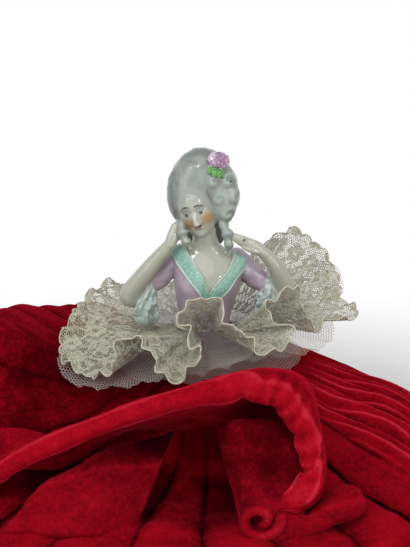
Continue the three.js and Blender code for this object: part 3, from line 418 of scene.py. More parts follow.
# The sew holes: which way each lies from the waist, how far out, and how wide. Each is cut by a drill.
SEW_WAYS = {"front": (0, -1), "left": (1, 0), "back": (0, 1), "right": (-1, 0)}
SEW_HOLE_INSET, SEW_HOLE_RADIUS, SEW_HOLE_SIDES = 2.4, 1.5, 24
DRILL_FROM, DRILL_TO = -2, 3
waist_half = STATIONS[0, 1:3]
hole_turn = full_turn(SEW_HOLE_SIDES)
hole_ring = np.stack([np.cos(hole_turn), np.sin(hole_turn), 0 * hole_turn], -1)
drill_shape = hole_ring * np.array([0, 1, 1, 0])[None, :, None] * SEW_HOLE_RADIUS
drill_shape = drill_shape + np.array([[0, 0, z] for z in (DRILL_FROM, DRILL_FROM, DRILL_TO, DRILL_TO)])
drills = []
for way in SEW_WAYS.values():
    hole_middle = np.array([*(np.array(way) * (waist_half + SEW_HOLE_INSET)), WAIST])
    drills.append(surface("drill", hole_middle + drill_shape, lilac, "figure", around=True,
                          poles=True))
    sew_hole = bodice.modifiers.new("sew_hole", "BOOLEAN")
    sew_hole.object = drills[-1]
settled(bodice)
for drill in drills:
    bpy.data.objects.remove(drill)

# Chest, shoulders and neck: the bare skin inside the band, cast in one with the torso. It is pale and faintly
# green in the hollows, and its mesh ends in a point inside the chest and another inside the head.
skin = glaze("skin_glaze", "AEB0A1", "959888", 0.45)
NECK_TOP, SKIN_UNDER_BAND, SKIN_SINK, SKIN_ROWS = 60, 1.2, 0.12, 50
HEART, NECK_END = (0.5, -0.5, WAIST + 42.0), (-0.8, -1.4, WAIST + NECK_TOP)


def pole(point, sides):
    """One point, repeated on every side of a grid, so that the grid closes in it."""
    return np.tile([[list(point)]], (sides, 1, 1))


skin_foot = rim - SKIN_UNDER_BAND
bare = torso(around_torso, skin_foot + (NECK_TOP - skin_foot) * np.linspace(0, 1, SKIN_ROWS), -SKIN_SINK)
bust = surface("bust_skin", np.concatenate([pole(HEART, TORSO_SIDES), bare, pole(NECK_END, TORSO_SIDES)], 1),
               skin, "figure", around=True, poles=True)
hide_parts("bust_and_neck")

# The collar: a finely pleated ribbon modelled on the neckline, turquoise with a paler cord along both edges.
# It is pressed on the soft clay and stands over the torso by its own thickness.
PLEAT_TURNS, PLEAT_DEPTH, PLEAT_SLANT = 96, 0.28, 1.2
PLEAT_SWAY, SWAY_LENGTH = 0.3, 7.3
BAND_THICKNESS, BAND_STEPS = 1.1, 900
band_lines = smooth_line(BAND_EDGES, BAND_STEPS)
# Across the band: a share of the way from lower to upper edge, and its height over the torso.
BAND_SECTION = np.array([
    [0.0, 0.0], [0.0, 0.75], [0.02, 1.1], [0.06, 1.28], [0.1, 1.1], [0.13, 0.8], [0.2, 0.86], [0.32, 0.95],
    [0.44, 1], [0.56, 1], [0.68, 0.95], [0.8, 0.86], [0.87, 0.8], [0.9, 1.1], [0.94, 1.28], [0.98, 1.1],
    [1.0, 0.75], [1.0, 0.0],
])
share, lift = BAND_SECTION.T
turns = np.linspace(0, PLEAT_TURNS * 2 * math.pi, BAND_STEPS)[:, None]
inner = step(0.1, 0.2, share) * step(0.1, 0.2, 1 - share)
pleats = inner * np.abs(np.sin(turns / 2 + PLEAT_SLANT * share))
pleats = pleats * (1 + PLEAT_SWAY * np.sin(turns / SWAY_LENGTH))
bearings = np.radians(band_lines[:, [0]] * (1 - share) + band_lines[:, [2]] * share)
heights = band_lines[:, [1]] * (1 - share) + band_lines[:, [3]] * share
low_side = torso(bearings, heights, -0.1)
high_side = torso(bearings, heights, 1.0)
outward = (high_side - low_side) / np.linalg.norm(high_side - low_side, axis=-1, keepdims=True)
band_points = low_side + outward * (BAND_THICKNESS * lift + PLEAT_DEPTH * pleats)[..., None]
turquoise = glaze("turquoise_glaze", "86B8A8", "6FA494", 0.6)
across_band = turquoise.parts(turquoise.cloth())[1] / MM
piping = turquoise.mask(abs(across_band - 0.5), 0.24, 0.42)
# The ribbon is paler in patches at random.
pale_patches = turquoise.mask(turquoise.noise(turquoise.place(), 900.0, 1.0), 0.4, 0.66)
turquoise.use("Base Color", turquoise.layered(turquoise.base, (pale_patches * 0.5, "A6CFC2"), (piping, "B2C2B7")))
across = np.stack(np.broadcast_arrays(turns, share[None]), -1)
collar = surface("collar_ribbon", band_points, turquoise, "figure", along=True,
                 cloth=np.concatenate([across, across[:, :1]], 1))
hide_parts("collar_band")

# The head: pressed in a mould, luted on the neck, bent down and turned to her right. Her face is modelled in
# low relief and painted by hand over the glaze.
HEAD = np.array([-3.5, -1, 67 + WAIST])
TIP, YAW, ROLL = 12, -11, -17


def turned(pitch, yaw, roll):
    """The rows of a frame that is pitched about X, then turned about Z, then rolled about Y, in degrees."""
    a, b, c = np.radians([pitch, yaw, roll])
    about_x = np.array([[1, 0, 0], [0, np.cos(a), -np.sin(a)], [0, np.sin(a), np.cos(a)]])
    about_z = np.array([[np.cos(b), -np.sin(b), 0], [np.sin(b), np.cos(b), 0], [0, 0, 1]])
    about_y = np.array([[np.cos(c), 0, np.sin(c)], [0, 1, 0], [-np.sin(c), 0, np.cos(c)]])
    return (about_y @ about_z @ about_x).T


HEAD_AXES = turned(TIP, YAW, ROLL)


def directions(turns, rows):
    """Unit directions over a ball, from the foot to the crown, as a grid."""
    bearing = full_turn(turns)
    rise = np.linspace(-math.pi / 2, math.pi / 2, rows)[None]
    flat = np.cos(rise)
    return np.stack(np.broadcast_arrays(np.cos(bearing) * flat, np.sin(bearing) * flat, np.sin(rise)), -1)


def reach(way, balls, blend):
    """How far a blend of ellipsoids reaches from the origin, each given by its middle and half sizes."""
    reaches = []
    for middle, half in balls:
        d, c = way / half, np.array(middle) / half
        a, b, k = (d * d).sum(-1), (d * c).sum(-1), (c * c).sum() - 1
        inside = b * b - a * k
        far = (b + np.sqrt(np.maximum(inside, 0))) / a
        reaches.append(np.where(inside > 0, far, b / a * np.exp(np.minimum(inside, 0) * 3)))
    reaches = np.array(reaches)
    top = reaches.max(0)
    return top + np.log(np.exp((reaches - top) / blend).sum(0)) * blend


def hill(x, z, at, wide, high):
    """A rounded hill on the face: its middle, its half width and its half height."""
    return np.exp(-(((x - at[0]) / wide) ** 2) - ((z - at[1]) / high) ** 2)


HEAD_GRID, SKULL_BLEND = (280, 240), 0.7
way = directions(*HEAD_GRID)
SKULL = [([0, 0.6, 2], [9, 10, 11.6]), ([0, -2.4, -4.6], [7.1, 7.0, 7.8]), ([0, -5.0, -8.0], [3.9, 3.6, 3.5])]
far = reach(way, SKULL, SKULL_BLEND)
x, y, z = np.moveaxis(way * far[..., None], -1, 0)
EYE = (3.45, 2.7)
# Hills and hollows of the face: how proud each is, its middle, its half width and its half height. The first
# are on both sides of it.
PAIRED_HILLS = [
    (0.45, (1.15, -2.25), 0.6, 0.6), (-0.95, (EYE[0], EYE[1] + 0.7), 2.2, 1.5), (0.5, EYE, 1.7, 0.85),
    (0.3, (3.6, 5.9), 2.8, 0.9), (0.55, (5.0, -1.6), 2.4, 2.4), (-0.35, (2.3, -4.4), 0.7, 1.2),
]
MIDDLE_HILLS = [
    (0.55, (0, -3.75), 1.7, 0.45), (-0.35, (0, -4.3), 1.9, 0.25), (0.6, (0, -4.95), 1.25, 0.5),
    (-0.5, (0, -6.1), 1.8, 0.7), (0.9, (0, -8.3), 2.1, 1.5),
]
NOSE_HEIGHT = 1.9
nose_half = 0.85 + 0.12 * (4 - z).clip(0, 6)
nose_ridge = np.exp(-((x / nose_half) ** 2)) * step(5.2, -1.9, z) * step(-3.3, -2.3, z)
features = NOSE_HEIGHT * nose_ridge
for proud, (hill_x, hill_z), wide, high in PAIRED_HILLS:
    for side in (-1, 1):
        features += proud * hill(x, z, (side * hill_x, hill_z), wide, high)
for proud, at, wide, high in MIDDLE_HILLS:
    features += proud * hill(x, z, at, wide, high)
features *= step(-1.5, -4.5, y)
head_points = way * (far + features)[..., None]
painted = glaze("face_glaze", "B3B4A6", "A3A495", 0.35)


def seen_from_head(finish):
    """The three numbers of a point in the head's own frame, in millimetres."""
    offset = finish.vectors("SUBTRACT", finish.place(), tuple(HEAD * MM), output=0)
    return [finish.vectors("DOT_PRODUCT", offset, tuple(axis)) / MM for axis in HEAD_AXES]


face_x, face_y, face_z = seen_from_head(painted)
front = painted.mask(face_y, -3.0, -5.0)


def stroke(finish, x, z, start, end, bow, width, soft=0.14):
    """A brush stroke: 1 near a bowed line from start to end, thinning out towards both ends."""
    along = (x - start[0]) / (end[0] - start[0])
    arch = along * (1 - along) * 4
    line = along * (end[1] - start[1]) + start[1] + arch * bow
    inked = finish.math("MAXIMUM", arch, 0.0)
    half = finish.math("POWER", inked, 0.5) * width
    return finish.mask(abs(z - line) - half, soft, -soft) * finish.mask(arch, 0.0, 0.2)


def dab(finish, x, z, at, wide, high, soft=0.35):
    """An oval touch of paint with a soft edge."""
    u, v = (x - at[0]) / wide, (z - at[1]) / high
    return finish.mask(u * u + v * v, 1 + soft, 1 - soft)


BROW_MIDDLE, BROW_HALF = (0.5, 0.5), (7.6, 12.2)


def hairline(finish, x, z):
    """An oval round the face: under 1 on the skin, over 1 in the hair. Below the middle its sides are
    straight."""
    u = (x - BROW_MIDDLE[0]) / BROW_HALF[0]
    w = finish.math("MAXIMUM", z - BROW_MIDDLE[1], 0.0) / BROW_HALF[1]
    return u * u + w * w


side_x = abs(face_x)
UMBER, INK, CORAL, WINE, LIP, AIRBRUSHED = "33281E", "14110C", "AE8048", "6A2A20", "9A5E4C", "9FA59A"
# A painted highlight down the ridge of the nose.
nose_highlight = painted.mask(side_x, 1.3, 0.4) * painted.mask(face_z, -3.2, -1.8) * painted.mask(face_z, 4.6, 1.5)
layers = [(front * 0.8 * nose_highlight, "CFD2C6")]
# The cheeks: where each blush lies and how wide it is. It is dabbed on twice.
for blush_x, blush_wide in ((-3.9, 2.3), (5.5, 2.5)):
    for spread, opacity in ((1.2, 0.5), (0.85, 0.75)):
        blush = dab(painted, face_x, face_z, (blush_x, -1.9), blush_wide * spread, 2.7 * spread, 0.95)
        layers.append((front * opacity * blush, CORAL))
brow_edge = hairline(painted, face_x, face_z)
# Painted shade along the edge of the brow on her left, under her curls.
brow_shade_under_curls = painted.mask(face_x, 2.5, 5.5) * painted.mask(face_z, -1.0, 3.0)
layers.append((brow_shade_under_curls * painted.mask(brow_edge, 0.62, 0.95) * 0.6, "7E6E58"))
at_brow = painted.mask(brow_edge, 0.2, 0.75) * painted.mask(face_z, 0.0, 5.0)
layers.append((at_brow * 0.95, AIRBRUSHED))
# The eyes: each dab's middle, its half sizes, how soft and how solid it is, and its paint.
EYE_DABS = [
    # The first is painted shade in the hollow over the eye.
    ((EYE[0], EYE[1] + 1.2), 2.3, 1.3, 0.8, 0.35, "7D7668"),
    ((EYE[0] + 0.05, EYE[1] - 0.2), 1.75, 0.85, 0.4, 0.7, "B6B9AE"),
    ((EYE[0] + 0.1, EYE[1]), 0.9, 1.0, 0.3, 1.0, INK),
]
for at, wide, high, soft, opacity, paint in EYE_DABS:
    layers.append((front * opacity * dab(painted, side_x, face_z, at, wide, high, soft), paint))
# Lids, brows and mouth: where each stroke starts and ends, its bow, its half width, its paint and how solid
# it is. The lids are painted alike on both sides.
EYE_STROKES = [
    ((EYE[0] - 1.75, EYE[1] - 0.1), (EYE[0] + 1.9, EYE[1] - 0.2), 1.0, 0.34, UMBER, 1.0),
    ((EYE[0] - 1.4, EYE[1] - 0.85), (EYE[0] + 1.6, EYE[1] - 0.75), -0.45, 0.15, UMBER, 0.5),
    ((EYE[0] - 1.6, EYE[1] + 1.1), (EYE[0] + 1.8, EYE[1] + 0.9), 0.6, 0.14, UMBER, 0.35),
]
FACE_STROKES = [
    ((0.9, 5.7), (5.4, 4.8), 0.75, 0.42, UMBER, 0.9), ((-5.0, 5.7), (-0.7, 6.0), 0.55, 0.42, UMBER, 0.9),
    ((-2.0, -3.95), (0.15, -4.0), 0.45, 0.42, WINE, 0.9), ((0.0, -4.0), (2.2, -4.05), 0.45, 0.42, WINE, 0.9),
    ((-1.6, -4.75), (1.7, -4.75), -0.35, 0.5, LIP, 0.85), ((-2.2, -4.1), (2.4, -4.15), -0.25, 0.24, INK, 0.9),
]
for from_nose, strokes in ((side_x, EYE_STROKES), (face_x, FACE_STROKES)):
    for start, end, bow, width, paint, opacity in strokes:
        painted_line = stroke(painted, from_nose, face_z, start, end, bow, width)
        layers.append((front * opacity * painted_line, paint))
nostrils = dab(painted, side_x, face_z, (0.62, -3.0), 0.28, 0.2)
layers.append((front * 0.6 * nostrils, WINE))
painted.use("Base Color", painted.layered(painted.base, *layers))
head = surface("head_and_face", HEAD + head_points @ HEAD_AXES, painted, "figure",
               around=True, poles=True)
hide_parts("head")

# The hair: a high powdered dressing, swept up from the brow and rolled into curls at her left side. It is
# grey-green under the glaze, and airbrushed into the face.
HAIR = np.array([-1.5, 2.5, 76 + WAIST])
HAIR_GRID, HAIR_BLEND = (320, 300), 0.9
HAIR_BALLS = [
    ([-2, 3.5, 78], [14.9, 12.0, 15]), ([-1.5, 2.0, 85.5], [11.6, 9.8, 10.8]),
    ([-10.4, 2, 73.5], [7.4, 8.2, 14]), ([9.2, 0, 80.5], [6.0, 8, 7.6]), ([10.4, -1, 73], [5.8, 7.4, 6.6]),
    ([8.4, -0.6, 65.4], [5.2, 6.4, 6.2]), ([-1, 7, 64], [10.5, 7, 9]), ([0.4, 6, 55], [11.6, 4.4, 11]),
]


def softened(grid, around, along):
    """A grid of numbers blurred with bell-shaped weights, so many cells wide round it and along it, and
    evened out towards both its poles."""
    gaps = [np.abs(np.arange(count)[:, None] - np.arange(count)) for count in grid.shape]
    gaps[0] = np.minimum(gaps[0], len(grid) - gaps[0])
    weights = [np.exp(-((gap / width) ** 2) / 2) for gap, width in zip(gaps, (around, along))]
    first, second = [weight / weight.sum(1, keepdims=True) for weight in weights]
    blurred = first @ grid @ second.T
    row = np.arange(grid.shape[1])
    for end, away in ((0, row), (-1, row[::-1])):
        near = step(2.0 * along, 0, away)
        blurred = blurred * (1 - near) + blurred[:, end].mean() * near
    return blurred


way = directions(*HAIR_GRID)
centred = [(np.array(middle) - (HAIR - [0, 0, WAIST]), np.array(half)) for middle, half in HAIR_BALLS]
from_head = (HAIR - HEAD) @ HEAD_AXES.T
from_hair = [(np.array(middle) - from_head, np.array(half)) for middle, half in SKULL]
skull_far, brow_far = [reach(way @ HEAD_AXES.T, balls, SKULL_BLEND) for balls in (from_hair, from_hair[:1])]
dressed = reach(way, centred, HAIR_BLEND)
far = softened(np.logaddexp(dressed / HAIR_BLEND, brow_far / HAIR_BLEND) * HAIR_BLEND, 8, 15)
x, y, z = np.moveaxis(HAIR + way * far[..., None] - [0, 0, WAIST], -1, 0)
# The side curls: where each lies, how wide it is and how proud it stands.
CURLS = [
    ((4.2, -9.0, 81.5), 4.4, 1.3), ((10.6, -6.4, 82), 4.6, 1.5), ((13.2, -4.2, 74), 5.0, 1.7),
    ((10.6, -5.4, 66.2), 4.8, 1.4), ((6.4, -7.6, 73.5), 4.2, 0.9), ((15.0, 5.0, 79.0), 5.0, 0.8),
    ((13.5, 6.0, 70.0), 5.0, 0.8), ((-14.5, 4.5, 80.0), 5.4, 0.4), ((-15.5, 5.0, 70.0), 5.0, 0.5),
]
relief, curl_shading = 0, 0
for middle, wide, proud in CURLS:
    away = np.sqrt(sum((a - b) ** 2 for a, b in zip((x, y, z), middle)))
    spiral = np.cos(2 * math.pi * away / (wide * 0.95) + np.arctan2(z - middle[2], x - middle[0]))
    on_curl = np.exp(-((away / wide) ** 4))
    relief = relief + proud * on_curl * (0.45 + 0.18 * spiral)
    # The curls' painted light and shade: paler on their crests, darker in their grooves.
    curl_shading = curl_shading + proud * on_curl * spiral
# Combed strands, low on the sides and high on the crown, and locks at the back. Then a dent in the dressing's
# front and a groove down its right side.
swept = np.arctan2(x + 2, z - 66)
low_part = step(84, 72, z) * step(-11, -2, y) * step(70, 60, z + 14 * (y > 0))
high_part = step(66, 82, z) * step(-6, 2, y)
strands = np.cos(30 * swept + 5 * np.sin(z / 6.0)) * low_part
strands = strands + 0.7 * np.cos(22 * swept + y * 0.9 + 1.5 * np.sin(z / 4)) * high_part
back_locks = np.cos(x * 1.25 + 1.2 * np.sin(z / 5.0)) * step(2, 7, y)
relief = relief + 0.13 * strands + 0.42 * back_locks
front_dent = np.exp(-((x + 5.4) ** 2 / 4.5) - (z - 90.4) ** 2 / 1.8) * step(0, -4, y)
side_groove = np.exp(-(((x + 14.2) / 0.9) ** 2)) * step(68, 74, z) * step(90, 84, z) * step(4, -1, y)
relief = relief - 0.3 * front_dent - 0.55 * side_groove
# Where the skull stands out of the dressing, the hair dives under the skin at a low angle.
seen = (HAIR + way * far[..., None] - HEAD) @ HEAD_AXES.T
on_face = softened(step(0.6, -2.4, dressed - brow_far), 5, 9) * step(2.5, 0.5, seen[..., 1])
UNDER_SKIN = 0.5
far = (far + relief * (1 - on_face)) * (1 - on_face) + np.minimum(far, skull_far - UNDER_SKIN) * on_face
hair_glaze = glaze("hair_glaze", "8F9B93", "78827C", 0.8)
hair_x, hair_y, hair_z = [part / MM for part in hair_glaze.parts(hair_glaze.place())]
streaks = hair_glaze.mask(hair_glaze.noise(hair_glaze.place(), 240.0, 4.0), 0.42, 0.7)
# Painted shade: the dressing darker on her right side and on its crown.
on_crown = hair_glaze.mask(hair_z, WAIST + 85, WAIST + 96)
in_shade = hair_glaze.most(hair_glaze.mask(hair_x, -10.5, -16.5), on_crown)
# Painted light: a paler patch over the curls at her left side.
painted_light_on_curls = dab(hair_glaze, hair_x, hair_z, (9.5, WAIST + 73), 5.0, 8.0, 0.8)
# Painted light and shade of the curls, read from the mesh.
curl_shading_paint = hair_glaze.light_and_shade()
# Painted shade in the dent at the dressing's front.
dent_shade = dab(hair_glaze, hair_x, hair_z, (-5.6, WAIST + 90.6), 2.0, 1.1, 0.8)
in_front = hair_glaze.mask(hair_y, 0.0, -4.0)
# Painted shade in the groove where the dressing meets her brow on her left.
groove_shade = stroke(hair_glaze, hair_x, hair_z, (0.2, WAIST + 79), (3.9, WAIST + 69.5), 0.5, 1.5, 1.0)
nick = dab(hair_glaze, hair_x, hair_z, (11.8, WAIST + 82), 0.8, 0.6)
in_head = seen_from_head(hair_glaze)
at_face = hair_glaze.mask(hairline(hair_glaze, in_head[0], in_head[2]), 1.5, 1.0)
# Painted shade at the nape, behind her neck and ringlets.
nape_shade = hair_glaze.mask(hair_z, WAIST + 60, WAIST + 56) * hair_glaze.mask(hair_y, -1.0, 2.0)
hair_glaze.use("Base Color", hair_glaze.layered(
    hair_glaze.base,
    (streaks * 0.35, "AAB2A8"),
    (in_shade * 0.7, "565853"),
    (painted_light_on_curls * 0.55, "B4BFB4"),
    (hair_glaze.mask(curl_shading_paint, -0.1, -1.2) * 0.5, "6C736C"),
    (hair_glaze.mask(curl_shading_paint, 0.3, 1.4) * 0.4, "BBC5BB"),
    (dent_shade * 0.5, "4C504B"),
    (in_front * 0.6 * groove_shade, "6A5C48"),
    (in_front * 0.9 * nick, "23211C"),
    (in_front * at_face * 0.9, AIRBRUSHED),
    (nape_shade * 0.8, "675E50"),
))
hair = surface("dressed_hair", HAIR + way * far[..., None], hair_glaze, "figure",
               around=True, poles=True, light_and_shade=curl_shading * (1 - on_face))
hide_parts("hair")

# The arms: sleeves in lilac to the elbow, bare forearms raised to the hair, and a goffered frill hanging at
# each elbow. They were pressed in moulds of their own and luted to the shoulders before firing.
CAP_RINGS = 7


def limb(path, sizes, steps=40, sides=24, wide=(0, 1, 0), wave=None):
    """Rings along a smooth line, each an oval square to it whose first half size lies along `wide`; the ends
    are round. `wave` swells a ring by its bearing and its share of the way."""
    line = smooth_line(np.array(path, float), steps)
    half = smooth_line(np.array(sizes, float), steps)
    tangent = np.gradient(line, axis=0)
    tangent /= np.linalg.norm(tangent, axis=1, keepdims=True)
    side = np.array(wide, float) - tangent * (tangent @ np.array(wide, float))[:, None]
    side /= np.linalg.norm(side, axis=1, keepdims=True)
    other = np.cross(tangent, side)
    caps = np.sin(np.linspace(0, math.pi / 2, CAP_RINGS + 1))[:-1]
    dome = np.sqrt(1 - (1 - caps) ** 2)
    shares = np.concatenate([dome, np.ones(steps), dome[::-1]])
    at = np.concatenate([np.zeros(CAP_RINGS, int), np.arange(steps), np.full(CAP_RINGS, steps - 1)])
    push = np.concatenate([-(1 - caps), np.zeros(steps), 1 - caps[::-1]]) * half[at].min(1)
    bearing = full_turn(sides)
    swell = shares * (1 if wave is None else wave(bearing, at / (steps - 1)))
    ring = (side[at] * half[at, :1])[None] * (swell * np.cos(bearing))[..., None]
    ring = ring + (other[at] * half[at, 1:])[None] * (swell * np.sin(bearing))[..., None]
    return ring + (line[at] + tangent[at] * push[:, None])[None] + [0, 0, WAIST]


def skins(name, grids, finish, body, along=False, voxel=None, smoothing=0):
    """Several skins as one piece, each closed round it and either closed along it or ending in poles. With a
    voxel size they are grown together, as clay is luted."""
    points, faces, first = [], [], 0
    for grid in grids:
        faces.append(first + faces_of(*grid.shape[:2], True, along)[1])
        points.append(grid.reshape(-1, 3) * MM)
        first += len(points[-1])
    mesh = bpy.data.meshes.new(name)
    mesh.from_pydata(np.concatenate(points).tolist(), [], np.concatenate(faces).tolist())
    piece = finished(name, mesh, finish, body, merge=not along)
    if voxel:
        grown = piece.modifiers.new("grown", "REMESH")
        grown.mode = "VOXEL"
        grown.voxel_size = voxel * MM
        grown.use_smooth_shade = True
        smoothed = piece.modifiers.new("smoothed", "SMOOTH")
        smoothed.factor = 0.5
        smoothed.iterations = smoothing
        settled(piece)
    return piece


ARMS = {
    "right": {
        "sleeve": [[-11, 1.5, 44], [-17.5, 1, 38.5], [-22, 0, 34], [-26.5, -1.5, 30.4]],
        "arm": [[-24, -1, 31.6], [-31, -3, 27], [-35.2, -4, 25.4], [-35, -4.6, 28], [-31, -5.4, 33.5],
                [-23.5, -7, 43.5], [-16, -8, 52.5]],
        "palm": [[-16.5, -8, 52], [-14.6, -7.2, 56.4], [-13.2, -5, 60]],
        "fingers": [[[-14, -5.4, 58.6], [-13, -3.6, 61.6], [-12.2, -1.6, 63.4]],
                    [[-13, -5.6, 58.2], [-12, -3.4, 61], [-11.2, -1, 62.8]],
                    [[-12, -5.6, 57.4], [-10.8, -3.4, 60], [-9.8, -1, 61.6]],
                    [[-12.6, -6.6, 55], [-10.8, -5.6, 57], [-9.4, -4, 58.4]]],
        "frill": [[-26.4, -1.8, 31.5], [-27.6, -2.8, 26.5], [-28.2, -3.8, 21.3], [-27.7, -4.6, 16]],
    },
    "left": {
        "sleeve": [[14.5, 1.5, 42], [20.5, 1, 37], [25, 0, 33.5], [29.6, -1.3, 30.4]],
        "arm": [[28, -0.8, 31.2], [34, -2.4, 28.4], [37.4, -3.2, 27.4], [38, -3.8, 29.6], [36.5, -4.6, 34],
                [33, -6, 41.5], [28, -7, 47.5]],
        "palm": [[28.4, -6.9, 47], [24.5, -7.6, 50.4], [20, -8, 52.8]],
        "fingers": [[[22.7, -8, 53.1], [18.1, -8, 55.2], [13.2, -7.2, 57]],
                    [[22.2, -8.6, 52.2], [17.7, -8.6, 54.3], [12.7, -7.8, 56.3]],
                    [[21.8, -8.8, 51.2], [17.3, -8.8, 53.4], [12.6, -8, 55.5]],
                    [[21.3, -8.6, 50.2], [16.9, -8.6, 52.5], [13.2, -7.9, 54.7]],
                    [[25, -8.9, 48.6], [21, -9.6, 49.7], [17.8, -9.4, 51]]],
        "frill": [[30.2, -1.6, 31.8], [30.4, -2.6, 27.5], [29.8, -3.6, 23], [29, -4.2, 19]],
    },
}
SLEEVE_SIZES = [[6.2, 6.2], [5.6, 5.8], [5, 5.2], [4.4, 4.4]]
ARM_SIZES = [[3.6, 3.6], [4.6, 4.6], [5, 4.8], [5, 4.9], [4.7, 4.7], [3.7, 3.8], [2.5, 2.9]]
PALM_SIZES = [[2.9, 2.6], [2.2, 3.1], [1.7, 2.7]]
FINGER_SIZES = [[1.3, 1.3], [1.15, 1.15], [0.8, 0.75]]
FRILL_SIZES = [[4.2, 4.2], [5.2, 4.9], [5.9, 5.5], [5, 4.8]]
PALM_WIDE = (0.2, -1, 0.3)
CLAY_VOXEL, CLAY_SMOOTHING = 0.34, 4
ARM_RINGS, FINGER_RINGS, FINGER_SIDES, FRILL_RINGS, FRILL_SIDES = 60, 20, 12, 90, 120

# A chip in the glaze on the back of her left hand shows the brown clay. The frills have painted highlights,
# pale patches laid at random.
CHIP = np.array([18.3, -9.3, 54.4 + WAIST])
arm_glaze = glaze("arm_glaze", "B2B3A3", "999A88", 0.5)
chip_place = arm_glaze.place()
chip_edge = arm_glaze.vectors("DISTANCE", chip_place, tuple(CHIP * MM)) / MM
chip_edge = chip_edge + arm_glaze.noise(chip_place, 900.0, 2.0) * 1.2
arm_glaze.use("Base Color", arm_glaze.mix(arm_glaze.mask(chip_edge, 1.6, 1.1), arm_glaze.base, "4E4436"))
frill_glaze = glaze("frill_glaze", "ACBBB6", "90A19C", 0.7)
frill_highlights = frill_glaze.mask(frill_glaze.noise(frill_glaze.place(), 420.0, 2.0), 0.5, 0.68)
frill_glaze.use("Base Color", frill_glaze.mix(frill_highlights * 0.6, frill_glaze.base, "D4DCD8"))


def sleeve_folds(bearing, t):
    """Shallow folds that wind round a sleeve."""
    return 1 + 0.05 * np.cos(3 * bearing + 9 * t) * np.sin(math.pi * t) + 0.03 * np.cos(5 * bearing - 14 * t)


def goffered(bearing, t):
    """A cascade of flutes that widen downwards, crossed by the edges of its three layers."""
    flutes = 0.17 * np.cos(5 * bearing + 2.6 * np.sin(5 * t)) + 0.07 * np.cos(11 * bearing - 9 * t)
    layers = 0.16 * np.abs(np.sin(3.4 * math.pi * t + 0.9 * np.cos(4 * bearing)))
    return 1 + t ** 0.6 * (flutes + layers) - 0.05


for hers, arm in ARMS.items():
    sleeve = surface("sleeve_" + hers + "_lilac", limb(arm["sleeve"], SLEEVE_SIZES, wave=sleeve_folds), lilac,
                     "figure", around=True, poles=True)
    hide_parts("sleeve_" + hers)
    clay = [limb(arm["arm"], ARM_SIZES, ARM_RINGS), limb(arm["palm"], PALM_SIZES, wide=PALM_WIDE)]
    clay += [limb(finger, FINGER_SIZES, FINGER_RINGS, FINGER_SIDES) for finger in arm["fingers"]]
    bare_arm = skins("bare_arm_" + hers, clay, arm_glaze, "figure", voxel=CLAY_VOXEL,
                     smoothing=CLAY_SMOOTHING)
    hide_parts("forearm_" + hers)
    frill_skin = limb(arm["frill"], FRILL_SIZES, FRILL_RINGS, FRILL_SIDES, wave=goffered)
    frill = surface("elbow_frill_" + hers, frill_skin, frill_glaze, "figure", around=True,
                    poles=True)
    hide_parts("frill_" + hers)

# The ringlets beside her neck: locks twisted into fat turns and luted under the curls, with the same glaze as
# the hair.
RINGLETS = {
    "right": [
        [-11, -3.5, 63], [-10.9, -7.8, 59.5], [-10.2, -9.2, 56.8], [-8.6, -9.5, 53.6], [-6.8, -9.5, 50.6],
    ],
    "left": [[7.4, -3.5, 63], [9.4, -7.2, 59.5], [10.6, -8.4, 56], [11, -8.5, 52], [9.8, -8.3, 48]],
}
RINGLET_SIZES = [[1.2, 1.2], [2.3, 2.3], [2.4, 2.4], [1.9, 1.9], [0.9, 0.9]]
RINGLET_TURNS, RINGLET_RINGS, RINGLET_SIDES = 3.0, 90, 40


def coiled(bearing, t):
    """The fat turns of a ringlet, and its fine strands."""
    beads = 0.2 * np.cos(2 * math.pi * RINGLET_TURNS * t - 1.6) + 0.1 * np.cos(5 * math.pi * t + bearing)
    return 1 + beads + 0.03 * np.cos(7 * bearing + 20 * t)


for hers, path in RINGLETS.items():
    twisted = limb(path, RINGLET_SIZES, RINGLET_RINGS, RINGLET_SIDES, (1, 0, 0), coiled)
    lock = surface("twisted_ringlet_" + hers, twisted, hair_glaze, "figure", around=True,
                   poles=True)
    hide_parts("ringlet_" + hers)

# The rose and its leaves, modelled by hand petal by petal and set in the hair above her left temple. The
# rose's glaze has painted highlights in pale patches, and the leaves' glaze is paler along the veins.
ROSE = np.array([5.9, -6.4, 91.4])
rose_glaze = glaze("rose_glaze", "9E7A9A", "7E5C7C", 0.7)
rose_highlights = rose_glaze.mask(rose_glaze.noise(rose_glaze.place(), 380.0, 2.0), 0.46, 0.62)
rose_glaze.use("Base Color", rose_glaze.mix(rose_highlights * 0.7, rose_glaze.base, "D3BCD0"))
leaf_glaze = glaze("leaf_glaze", "4A9434", "1F5A1A", 1.0)
veins = leaf_glaze.mask(leaf_glaze.noise(leaf_glaze.place(), 700.0, 2.0), 0.52, 0.62)
leaf_glaze.use("Base Color", leaf_glaze.mix(veins * 0.6, leaf_glaze.base, "8CC46C"))
PETAL_GRID = (28, 20)


def petal(middle, facing, up, wide, high, thick, cup):
    """A cupped petal: a flattened ball whose edge curls towards the way it faces."""
    facing = np.array(facing, float) / np.linalg.norm(facing)
    side = np.cross(up, facing)
    side /= np.linalg.norm(side)
    rise = np.cross(facing, side)
    ball = directions(*PETAL_GRID)
    a, b, c = np.moveaxis(ball, -1, 0)
    wavy = 1 + 0.06 * np.cos(5 * np.arctan2(c, a))
    out = b * thick + cup * (a * a + c * c)
    return (np.array(middle) + [0, 0, WAIST] + (a * wide * wavy)[..., None] * side
            + (c * high * wavy)[..., None] * rise + out[..., None] * facing)


rose_petals = [petal(ROSE + [0, -2.2, 0.2], (0.2, -1, 0.3), (0, 0, 1), 1.5, 1.5, 1.3, 0.2)]
